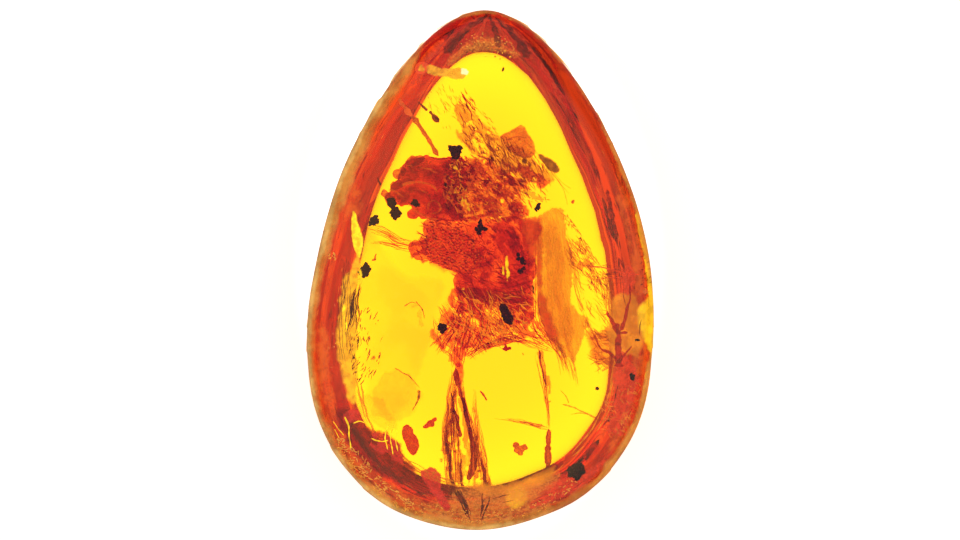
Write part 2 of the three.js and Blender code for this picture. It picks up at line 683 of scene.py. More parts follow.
@dataclass(frozen=True)
class Film:
    """A thin ragged film of tissue, drawn by its outline as seen from above.

    Holes are torn where noise is high: their size, the share of the film they take, how many times
    longer they are than wide, and the angle they run along.
    """

    TEAR = 0.045
    outline: Spots
    height: float
    thickness: float = 0.07
    lean: Spot = (0.0, 0.0)
    rag: Spots = ((0.5, 0.2), (0.2, 0.1))
    holes: tuple[float, float, float, float] | None = None
    wrinkles: Spots = ((1.6, 0.3), (0.5, 0.1))
    cell: float = 0.085
    soft: float = 0.16
    sharp: bool = False

    def build(self, seed: float) -> bpy.types.Object:
        """Cut the film out of a fine grid, tear it, wrinkle it and give it thickness.

        Args:
            seed: Makes this film differ from others.

        Returns:
            The film.
        """
        rim = self.border(seed)
        low, high = rim.min(axis=0), rim.max(axis=0)
        middle, half = (low + high) / 2, (high - low) / 2 + self.cell
        bpy.ops.object.select_all(action="DESELECT")
        counts = [max(2, int(2 * length / self.cell)) for length in half]
        bpy.ops.mesh.primitive_grid_add(x_subdivisions=counts[0], y_subdivisions=counts[1], size=2.0)
        piece = bpy.context.object
        piece.data.transform(Matrix.Translation((*middle, 0)) @ Matrix.Diagonal((*half, 1, 1)))
        places = Bench.places(piece)
        kept = Bench.within(places, rim)
        if self.holes:
            kept &= ~self.torn(places, seed)
        self.trim(piece, kept)
        self.snap(piece, rim)
        places = Bench.places(piece)
        rise = (places[:, :2] - middle) @ np.array(self.lean)
        places[:, 2] = self.height + rise + Bench.lumps(places, self.wrinkles, seed + 0.5)
        Bench.move_to(piece, places)
        Bench.use(piece, "SOLIDIFY", thickness=self.thickness, offset=0.0)
        return piece

    def feather(self, piece: bpy.types.Object, outer: list[int], torn: list[int]) -> None:
        """Mark how near each point is to the border, so that the finish can fade out there.

        Args:
            piece: The film.
            outer: The numbers of the points on its outline.
            torn: The numbers of the points on the edges of its tears.
        """
        places = Bench.places(piece)
        fray = np.zeros(len(places))
        for edge, soft in ((outer, self.soft), (torn, self.TEAR)):
            borders = KDTree(len(edge))
            for number in edge:
                borders.insert(places[number], int(number))
            borders.balance()
            if edge:
                gaps = np.array([borders.find(place)[2] for place in places])
                fray = np.maximum(fray, np.exp(-gaps / soft))
        mark = piece.data.attributes.new("fray", "FLOAT", "POINT")
        mark.data.foreach_set("value", fray)

    def border(self, seed: float) -> np.ndarray:
        """Give the outline its ragged edge.

        Args:
            seed: Makes this film differ from others.

        Returns:
            The outline as many points, one row each.
        """
        length = sum(math.dist(a, b) for a, b in zip(self.outline, self.outline[1:] + self.outline[:1]))
        count = int(length / self.cell)
        if self.sharp:
            rim = np.vstack([
                np.linspace(a, b, max(2, int(math.dist(a, b) / self.cell)), endpoint=False)
                for a, b in zip(self.outline, self.outline[1:] + self.outline[:1])
            ])
        else:
            rim = Bench.curve(self.outline, count, closed=True)
        spots = np.column_stack((rim, np.zeros(len(rim))))
        along = np.roll(rim, -1, axis=0) - np.roll(rim, 1, axis=0)
        out = np.column_stack((along[:, 1], -along[:, 0])) / (np.linalg.norm(along, axis=1)[:, None] + 1e-9)
        return rim + out * Bench.lumps(spots, self.rag, seed)[:, None]

    def torn(self, places: np.ndarray, seed: float) -> np.ndarray:
        """Whether each place falls in a tear.

        Args:
            places: One row for each place.
            seed: Makes this film differ from others.

        Returns:
            Yes or no for each place.
        """
        size, share, stretch, turn = self.holes
        angle = math.radians(turn)
        along = places[:, 0] * math.cos(angle) + places[:, 1] * math.sin(angle)
        across = places[:, 1] * math.cos(angle) - places[:, 0] * math.sin(angle)
        spots = np.column_stack((along / stretch, across, np.zeros(len(places))))
        layers = ((size, 1.0), (size * 0.45, 0.6))
        height = Bench.lumps(spots, layers, seed + 0.25)
        return height > np.quantile(height, 1 - share)

    @staticmethod
    def trim(piece: bpy.types.Object, kept: np.ndarray) -> None:
        """Delete the points of a piece that aren't kept.

        Args:
            piece: The piece to change.
            kept: Yes or no for each of its points.
        """
        Bench.hold(piece)
        bpy.ops.object.mode_set(mode="EDIT")
        bpy.ops.mesh.select_mode(type="VERT")
        bpy.ops.mesh.select_all(action="DESELECT")
        bpy.ops.object.mode_set(mode="OBJECT")
        piece.data.vertices.foreach_set("select", ~kept)
        bpy.ops.object.mode_set(mode="EDIT")
        bpy.ops.mesh.delete(type="VERT")
        bpy.ops.mesh.select_all(action="SELECT")
        bpy.ops.mesh.delete_loose(use_verts=True, use_edges=True, use_faces=False)
        bpy.ops.object.mode_set(mode="OBJECT")

    def snap(self, piece: bpy.types.Object, rim: np.ndarray) -> None:
        """Pull the border onto the ragged outline, and ease the stepped edges of the tears.

        Args:
            piece: The film.
            rim: The ragged outline's points.
        """
        places = Bench.places(piece)
        ends = np.empty(len(piece.data.edges) * 2, dtype=int)
        piece.data.edges.foreach_get("vertices", ends)
        ends = ends.reshape(-1, 2)
        uses = np.zeros(len(ends), dtype=int)
        links = np.empty(len(piece.data.loops), dtype=int)
        piece.data.loops.foreach_get("edge_index", links)
        np.add.at(uses, links, 1)
        rims = ends[uses == 1]
        total, count = np.zeros_like(places), np.zeros(len(places))
        for first, second in (rims.T, rims.T[::-1]):
            np.add.at(total, first, places[second])
            np.add.at(count, first, 1)
        edge = np.flatnonzero(count)
        places[edge] = places[edge] * 0.4 + total[edge] / count[edge][:, None] * 0.6
        outer, torn = [], []
        for corner in edge:
            gaps = np.linalg.norm(rim - places[corner, :2], axis=1)
            nearest = int(gaps.argmin())
            if gaps[nearest] < self.cell * 1.3:
                places[corner, :2] = rim[nearest]
                outer.append(corner)
            else:
                torn.append(corner)
        Bench.move_to(piece, places)
        self.feather(piece, outer, torn)


@dataclass(frozen=True)
class Mass:
    """A lump of tissue: balls that are fused and roughened, then creased along lines.

    A ball is its middle, its half size and its angle. A crease is its points, half its width and
    its depth; less than no depth is a ridge.
    """

    balls: tuple[tuple[Triple, Triple, float], ...]
    rough: Spots = ((0.9, 0.2), (0.35, 0.12), (0.14, 0.05))
    creases: tuple[tuple[Spots, float, float], ...] = ()
    voxel: float = 0.07

    def build(self, seed: float) -> bpy.types.Object:
        """Fuse, roughen and crease the lump.

        Args:
            seed: Makes this lump differ from others.

        Returns:
            The lump.
        """
        piece = Bench.fuse([Bench.ball(*ball) for ball in self.balls], self.voxel)
        Bench.roughen(piece, self.rough, seed)
        for points, width, depth in self.creases:
            Bench.crease(piece, Bench.curve(points, 6 * len(points)), width, depth)
        return piece


@dataclass(frozen=True)
class Bundle:
    """Threads that run side by side along a guide line.

    The spread is half the bundle's width at its start and its end; the run is the shortest and the
    longest share of the guide that a thread covers.
    """

    STEPS = 60
    guide: Spots
    height: float
    spread: Spot = (0.3, 0.3)
    count: int = 20
    radius: Spot = (0.015, 0.035)
    deep: float = 0.4
    wander: Spots = ((1.2, 0.18), (0.4, 0.05))
    run: Spot = (0.3, 1.0)

    def build(self, seed: float) -> bpy.types.Object:
        """Draw the threads.

        Args:
            seed: Makes this bundle differ from others.

        Returns:
            All the threads as one piece.
        """
        luck = random.Random(int(seed * 1000))
        line = Bench.curve(self.guide, self.STEPS)
        marks = np.linspace(0, 1, self.STEPS)
        along = np.gradient(line, axis=0)
        side = np.column_stack((-along[:, 1], along[:, 0])) / np.linalg.norm(along, axis=1)[:, None]
        paths, widths = [], []
        for number in range(self.count):
            run = luck.uniform(*self.run)
            start = luck.uniform(0, 1 - run)
            share = np.linspace(start, start + run, max(6, int(22 * run)))
            spots = np.column_stack([np.interp(share, marks, part) for part in line.T])
            ways = np.column_stack([np.interp(share, marks, part) for part in side.T])
            offset = luck.uniform(-1, 1) * (self.spread[0] * (1 - share) + self.spread[1] * share)
            level = np.full(len(share), self.height + luck.uniform(-self.deep, self.deep))
            path = np.column_stack((spots + ways * offset[:, None], level))
            for axis in range(3):
                path[:, axis] += Bench.lumps(path, self.wander, seed + number * 1.7 + axis * 0.31)
            taper = np.sin(np.linspace(0.12, math.pi - 0.12, len(path))) ** 0.6
            paths.append(path)
            widths.append(taper * luck.uniform(*self.radius))
        return Bench.threads(paths, widths)


@dataclass(frozen=True)
class Dashes:
    """Many short fibres strewn over an area, all running much the same way."""

    BOW = 0.12
    area: Spots
    height: float
    turn: float
    count: int
    length: Spot = (0.25, 0.8)
    radius: Spot = (0.012, 0.035)
    fan: float = 14.0
    deep: float = 0.5
    clumps: float = 0.9

    def build(self, seed: float) -> bpy.types.Object:
        """Strew the fibres, closer together in some places than in others.

        Args:
            seed: Makes this area differ from others.

        Returns:
            All the fibres as one piece.
        """
        luck = random.Random(int(seed * 1000))
        rim = Bench.curve(self.area, 8 * len(self.area), closed=True)
        low, high = rim.min(axis=0), rim.max(axis=0)
        paths, widths = [], []
        while len(paths) < self.count:
            spot = np.array([[luck.uniform(low[0], high[0]), luck.uniform(low[1], high[1]), 0.0]])
            chance = 0.5 + Bench.lumps(spot, ((self.clumps, 1.0),), seed)[0]
            if luck.random() > chance or not Bench.within(spot, rim)[0]:
                continue
            sway = Bench.lumps(spot, ((2.0, 25.0),), seed + 3)[0]
            angle = math.radians(self.turn + sway + luck.gauss(0, self.fan))
            half = luck.uniform(*self.length) / 2
            bow = luck.uniform(-1, 1) * self.BOW * half * 2
            share = np.linspace(-1, 1, 6)
            side = bow * (1 - share**2)
            x = spot[0, 0] + math.cos(angle) * half * share - math.sin(angle) * side
            y = spot[0, 1] + math.sin(angle) * half * share + math.cos(angle) * side
            z = self.height + luck.uniform(-self.deep, self.deep) + share * luck.uniform(-0.3, 0.3) * half
            paths.append(np.column_stack((x, y, z)))
            widths.append(luck.uniform(*self.radius) * np.array((0.3, 0.8, 1.0, 1.0, 0.7, 0.25)))
        return Bench.threads(paths, widths)


@dataclass(frozen=True)
class Streak:
    """One line of tissue or a hair: its points, its height and its radius at both ends."""

    points: Spots
    height: float
    radius: Spot = (0.04, 0.03)
    wander: float = 0.03

    def build(self, seed: float) -> bpy.types.Object:
        """Draw the line, a little uneven.

        Args:
            seed: Makes this line differ from others.

        Returns:
            The line.
        """
        count = 14 * (len(self.points) - 1)
        flat = Bench.curve(self.points, count)
        share = np.linspace(0, 1, count)
        path = np.column_stack((flat, np.full(count, self.height)))
        path[:, :2] += np.column_stack([
            Bench.lumps(path, ((0.5, self.wander),), seed + axis * 0.37) for axis in range(2)
        ])
        thick = self.radius[0] * (1 - share) + self.radius[1] * share
        uneven = 1 + Bench.lumps(path, ((0.25, 0.7),), seed + 5)
        ends = np.minimum(1, np.minimum(share, 1 - share) * 12 + 0.15)
        return Bench.threads([path], [thick * uneven * ends], sides=1)


@dataclass(frozen=True)
class Crumb:
    """A crumb of soil: its place from above, its half size, its height, its angle and its lumps."""

    GRAINS = 16
    GOLDEN_TURN = 2.4
    place: Spot
    half: Spot
    height: float
    turn: float = 0.0
    parts: tuple[Triple, ...] = ()

    def build(self, seed: float) -> bpy.types.Object:
        """Model the crumb as a heap of angular grains.

        Args:
            seed: Makes this crumb differ from others.

        Returns:
            The crumb.
        """
        luck = random.Random(int(seed * 1000))
        half = Vector(self.half) * 1.15
        deep = min(half)
        turned = Matrix.Rotation(math.radians(self.turn), 4, "Z")
        spots = [(0.0, 0.0, deep * 0.85)]
        for number in range(self.GRAINS):
            angle, reach = number * self.GOLDEN_TURN, luck.uniform(0.35, 0.75)
            flat = (half[0] * reach * math.cos(angle), half[1] * reach * math.sin(angle), 0)
            spot = turned @ Vector(flat)
            spots.append((spot.x, spot.y, deep * luck.uniform(0.3, 0.55)))
        for x, y, radius in self.parts:
            for _ in range(4):
                side, level = luck.gauss(0, 0.4) * radius, luck.gauss(0, 0.4) * radius
                spots.append((x + side, y + level, radius * luck.uniform(0.6, 1.1)))
        grains = []
        for number, (x, y, radius) in enumerate(spots):
            radii = [radius * luck.uniform(0.75, 1.25) for _ in range(3)]
            grain = Bench.ball((x, y, luck.uniform(-0.5, 0.5) * deep), radii, luck.uniform(0, 90), 1)
            Bench.roughen(grain, ((radius * 1.2, radius * 0.7),), seed + number)
            grains.append(grain)
        piece = Bench.join(grains)
        piece.data.transform(Matrix.Translation((*self.place, self.height)))
        return piece


@dataclass(frozen=True)
class ScaleRows:
    """Rows of short dark dashes, as between small scales, over an area."""

    JITTER = 0.035
    area: Spots
    height: float
    turn: float
    gaps: Spot = (0.24, 0.17)
    dash: Spot = (0.13, 0.028)

    def build(self, seed: float) -> bpy.types.Object:
        """Lay the dashes in staggered rows.

        Args:
            seed: Makes this area differ from others.

        Returns:
            All the dashes as one piece.
        """
        luck = random.Random(int(seed * 1000))
        rim = Bench.curve(self.area, 8 * len(self.area), closed=True)
        middle = rim.mean(axis=0)
        reach = float(np.linalg.norm(rim - middle, axis=1).max())
        angle = math.radians(self.turn)
        along = np.array((math.cos(angle), math.sin(angle)))
        across = np.array((-math.sin(angle), math.cos(angle)))
        paths, widths = [], []
        for row in range(int(-reach / self.gaps[1]), int(reach / self.gaps[1]) + 1):
            for place in range(int(-reach / self.gaps[0]), int(reach / self.gaps[0]) + 1):
                step = (place + 0.5 * (row % 2)) * self.gaps[0] + luck.gauss(0, self.JITTER)
                spot = middle + along * step + across * (row * self.gaps[1] + luck.gauss(0, self.JITTER))
                spot += across * 0.12 * math.sin(step * 1.7)
                if not Bench.within(spot[None, :], rim)[0] or luck.random() < 0.12:
                    continue
                lean = angle + luck.gauss(0.5, 0.3)
                half = luck.uniform(0.6, 1.1) * self.dash[0] / 2
                way = np.array((math.cos(lean), math.sin(lean))) * half
                ends = [spot - way, spot, spot + way]
                path = np.column_stack((ends, np.full(3, self.height + luck.uniform(-0.1, 0.1))))
                paths.append(path)
                widths.append(np.array((0.5, 1.0, 0.5)) * self.dash[1] * luck.uniform(0.7, 1.3))
        return Bench.threads(paths, widths)


@dataclass(frozen=True)
class Specks:
    """Tiny balls strewn over an area, such as bubbles or grains."""

    area: Spots
    height: float
    count: int
    radius: Spot = (0.03, 0.08)
    deep: float = 0.4

    def build(self, seed: float) -> bpy.types.Object:
        """Strew the balls.

        Args:
            seed: Makes this area differ from others.

        Returns:
            All the balls as one piece.
        """
        luck = random.Random(int(seed * 1000))
        rim = Bench.curve(self.area, 8 * len(self.area), closed=True)
        low, high = rim.min(axis=0), rim.max(axis=0)
        balls = []
        while len(balls) < self.count:
            x, y = luck.uniform(low[0], high[0]), luck.uniform(low[1], high[1])
            if not Bench.within(np.array([[x, y]]), rim)[0]:
                continue
            size = luck.uniform(*self.radius)
            level = self.height + luck.uniform(-self.deep, self.deep)
            balls.append(Bench.ball((x, y, level), (size, size * luck.uniform(0.7, 1.0), size * 0.8), 0, 2))
        return Bench.join(balls)


# ---------------------------------------------------------------------------- the stone


class Stone:
    """The amber drop, and the way that things in it are seen from above."""

    NODE = "amber_drop"
    STEP = 0.2
    SQUEEZE = 0.1
    MARGIN = 0.07
    RIPPLES = ((5.0, 0.05), (2.2, 0.016), (1.4, 0.004))

    def __init__(self, finish: AmberFinish) -> None:
        """Build the stone and measure its front and back.

        Args:
            finish: The stone's finish.
        """
        self.finish = finish
        self.piece = self.build()
        self.survey()

    def build(self) -> bpy.types.Object:
        """Copy the stone from the frame, make its surface smooth and dress it."""
        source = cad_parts[self.NODE]
        piece = source.copy()
        piece.data = source.data.copy()
        piece.name = "amber"
        bpy.context.scene.collection.objects.link(piece)
        Bench.hold(piece)
        bpy.ops.object.mode_set(mode="EDIT")
        bpy.ops.mesh.select_all(action="SELECT")
        bpy.ops.mesh.remove_doubles(threshold=0.001 * MM)
        limit = math.radians(60)
        bpy.ops.mesh.tris_convert_to_quads(face_threshold=limit, shape_threshold=limit)
        bpy.ops.object.mode_set(mode="OBJECT")
        Bench.use(piece, "SUBSURF", levels=1, render_levels=1)
        self.ripple(piece)
        Bench.use(piece, "SUBSURF", levels=1, render_levels=1)
        bpy.ops.object.shade_smooth()
        piece.data.materials.clear()
        piece.data.materials.append(self.finish.material())
        return piece

    def ripple(self, piece: bpy.types.Object) -> None:
        """Press the shallow hollows of hand polishing into the surface, never outwards.

        Args:
            piece: The stone.
        """
        places = Bench.places(piece)
        ways = np.empty(places.size)
        piece.data.vertices.foreach_get("normal", ways)
        height = Bench.lumps(places / MM, self.RIPPLES, 3.0)
        Bench.move_to(piece, places + ways.reshape(-1, 3) * (height - height.max())[:, None] * MM)

    def survey(self) -> None:
        """Measure, on a grid seen from above, the front, the back and how far sight lines lean."""
        corners = [corner.co / MM for corner in self.piece.data.vertices]
        tree = BVHTree.FromPolygons(corners, [face.vertices for face in self.piece.data.polygons])
        low, high = (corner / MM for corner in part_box(self.NODE))
        self.columns = np.arange(low.x, high.x + self.STEP, self.STEP)
        self.rows = np.arange(low.y, high.y + self.STEP, self.STEP)
        shape = (len(self.rows), len(self.columns))
        widest = low.z + (high.z - low.z) * WAIST
        self.front, self.back = np.full(shape, widest), np.full(shape, widest)
        self.lean = np.zeros((*shape, 2))
        spots = Bench.places(self.piece)[:, :2] / MM
        turns = np.degrees(np.arctan2(spots[:, 1], spots[:, 0]))
        gaps = np.linalg.norm(spots, axis=1)
        near = [np.abs((turns - angle + 180) % 360 - 180) < 1.5 for angle in range(-180, 181)]
        self.outline = np.array([gaps[close].max() for close in near])
        for row, y in enumerate(self.rows):
            for column, x in enumerate(self.columns):
                top, normal, _, _ = tree.ray_cast(Vector((x, y, high.z + 1)), Vector((0, 0, -1)))
                if top is None:
                    continue
                under, _, _, _ = tree.ray_cast(Vector((x, y, low.z - 1)), Vector((0, 0, 1)))
                self.front[row, column] = top.z
                self.back[row, column] = under.z
                self.lean[row, column] = self.bend(normal)

    def edge(self, start: float, end: float, inset: float) -> np.ndarray:
        """Places inside the stone's outline as seen from above.

        Args:
            start: The first angle from X, in degrees.
            end: The last angle.
            inset: How far inside the outline they are, in millimetres.

        Returns:
            The places in order, one row each.
        """
        angles = np.linspace(start, end, max(4, int(abs(end - start) / 6)))
        ways = np.column_stack((np.cos(np.radians(angles)), np.sin(np.radians(angles))))
        return ways * (self.reach(angles) - inset)[:, None]

    def reach(self, angles: np.ndarray) -> np.ndarray:
        """How far from the middle the outline is at some angles, in millimetres."""
        return np.interp(angles, np.arange(-180, 181), self.outline, period=360)

    def bend(self, normal: Vector) -> Spot:
        """How far a line of sight from straight above leans once it is in the stone.

        Args:
            normal: The front's normal where the line goes in.

        Returns:
            The way it goes along X and Y for each millimetre down.
        """
        ratio = 1 / self.finish.bending
        down = Vector((0, 0, -1))
        facing = -down.dot(normal)
        inside = math.sqrt(1 - ratio**2 * (1 - facing**2))
        path = ratio * down + (ratio * facing - inside) * normal
        return path.x / -path.z, path.y / -path.z

    def read(self, grid: np.ndarray, x: np.ndarray, y: np.ndarray) -> np.ndarray:
        """Read a surveyed grid at places between its points.

        Args:
            grid: The surveyed values.
            x: The places along X.
            y: The places along Y.

        Returns:
            One value, or one row of values, for each place.
        """
        across = np.clip((x - self.columns[0]) / self.STEP, 0, len(self.columns) - 1.001)
        along = np.clip((y - self.rows[0]) / self.STEP, 0, len(self.rows) - 1.001)
        column, row = across.astype(int), along.astype(int)
        right, up = across - column, along - row
        if grid.ndim == 3:
            right, up = right[:, None], up[:, None]
        near = grid[row, column] * (1 - right) + grid[row, column + 1] * right
        far = grid[row + 1, column] * (1 - right) + grid[row + 1, column + 1] * right
        return near * (1 - up) + far * up

    def sink(self, piece: bpy.types.Object, skin: float) -> None:
        """Move a piece modelled as seen from above to where it is in the stone.

        Each point slides along its bent line of sight and stays under the skin of the stone.

        Args:
            piece: The piece, in millimetres.
            skin: The least depth under the surface.
        """
        places = Bench.places(piece)
        x, y, z = places.T.copy()
        cover = skin + self.SQUEEZE * (self.front.max() - z)
        depth = np.maximum(self.read(self.front, x, y) - z, cover)
        moved = self.read(self.lean, x, y) * depth[:, None]
        places[:, 0] = x + moved[:, 0]
        places[:, 1] = y + moved[:, 1]
        allowed = self.reach(np.degrees(np.arctan2(places[:, 1], places[:, 0]))) - self.MARGIN
        gone = np.linalg.norm(places[:, :2], axis=1)
        places[:, :2] *= np.minimum(1, allowed / np.maximum(gone, 0.01))[:, None]
        front = self.read(self.front, places[:, 0], places[:, 1])
        back = self.read(self.back, places[:, 0], places[:, 1])
        middle = (front + back) / 2 + 0.02 * (z - 9)
        roof = np.maximum(front - cover, middle)
        ground = np.minimum(back + skin + self.SQUEEZE * z, middle)
        places[:, 2] = np.clip(z, ground, roof)
        Bench.move_to(piece, places)


@dataclass(frozen=True)
class Band:
    """A film along the stone's edge that tapers to both ends.

    It runs from one angle to another. The outer border is so far inside the outline, the inner border
    is further in, by a different measure at the last end, and it fades more or less softly.
    """

    RAG = ((1.5, 0.12), (0.4, 0.06))
    start: float
    end: float
    outer: float
    inner: float
    last: float
    soft: float

    def along(self, stone: Stone) -> Film:
        """Lay the band along a stone's edge.

        Args:
            stone: The stone.

        Returns:
            The band as a film.
        """
        far, near = (stone.edge(self.start, self.end, inset) for inset in (self.outer, self.inner))
        share = np.linspace(0, 1, len(far))[:, None]
        near -= near / np.linalg.norm(near, axis=1)[:, None] * share * (self.last - self.inner)
        wide = np.minimum(1, np.sin(share * math.pi) * 2.5 + 0.1)
        outline = np.vstack((far, (far + (near - far) * wide)[::-1]))
        rim = tuple(map(tuple, outline))
        return Film(rim, 9.0, 0.03, rag=self.RAG, wrinkles=(), cell=0.1, soft=self.soft)


@dataclass(frozen=True)
class Run:
    """Broken threads along a fifth of the stone's edge, from one angle on."""

    ARC = 72
    INSET = 1.2
    start: float
    count: int
    radius: Spot
    run: Spot

    def along(self, stone: Stone) -> Bundle:
        """Lay the threads along a stone's edge.

        Args:
            stone: The stone.

        Returns:
            The threads as a bundle.
        """
        guide = tuple(map(tuple, stone.edge(self.start, self.start + self.ARC, self.INSET)))
        return Bundle(guide, 8.6, (1.0, 1.0), self.count, self.radius, 0.3, run=self.run)


Finish = TissueFinish | PaintedGlowFinish | CrumbFinish | BubbleFinish


@dataclass(frozen=True)
class Layer:
    """One sealed piece: its seed, finish, shapes, least depth under the surface and material slot."""

    seed: float
    finish: Finish
    shapes: tuple
    skin: float = 0.14
    slot: Slot = Slot.FOSSIL


@dataclass
class Inclusions:
    """A group of sealed pieces. Each field that holds a layer is a piece of that name."""

    stone: Stone

    def build(self) -> None:
        """Model and seal the group's pieces, in order."""
        for part in fields(self):
            if part.type is Layer:
                self.seal(part.name, getattr(self, part.name))

    def fit(self, shape: object) -> object:
        """Lay a band or a run of threads along this stone's own edge."""
        return shape.along(self.stone) if isinstance(shape, (Band, Run)) else shape

    def seal(self, name: str, layer: Layer) -> None:
        """Build a layer's shapes as one piece, seal it in the stone and dress it.

        Args:
            name: The piece's name.
            layer: What it is made of.
        """
        shapes = [self.fit(shape) for shape in layer.shapes]
        piece = Bench.join([
            shape.build(layer.seed + SEED_STEP * number) for number, shape in enumerate(shapes)
        ])
        Bench.hold(piece)
        bpy.ops.object.transform_apply(location=True, rotation=True, scale=True)
        self.stone.sink(piece, layer.skin)
        piece.data.transform(Matrix.Scale(MM, 4))
        piece.data.materials.clear()
        piece.data.materials.append(layer.finish.material())
        piece.data.polygons.foreach_set("material_index", [0] * len(piece.data.polygons))
        bpy.ops.object.shade_smooth()
        piece.name = name
        piece.data.name = name
        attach(piece, "root")
        LOG.info("%s: %d faces", name, len(piece.data.polygons))


# ---------------------------------------------------------------------------- what is sealed in


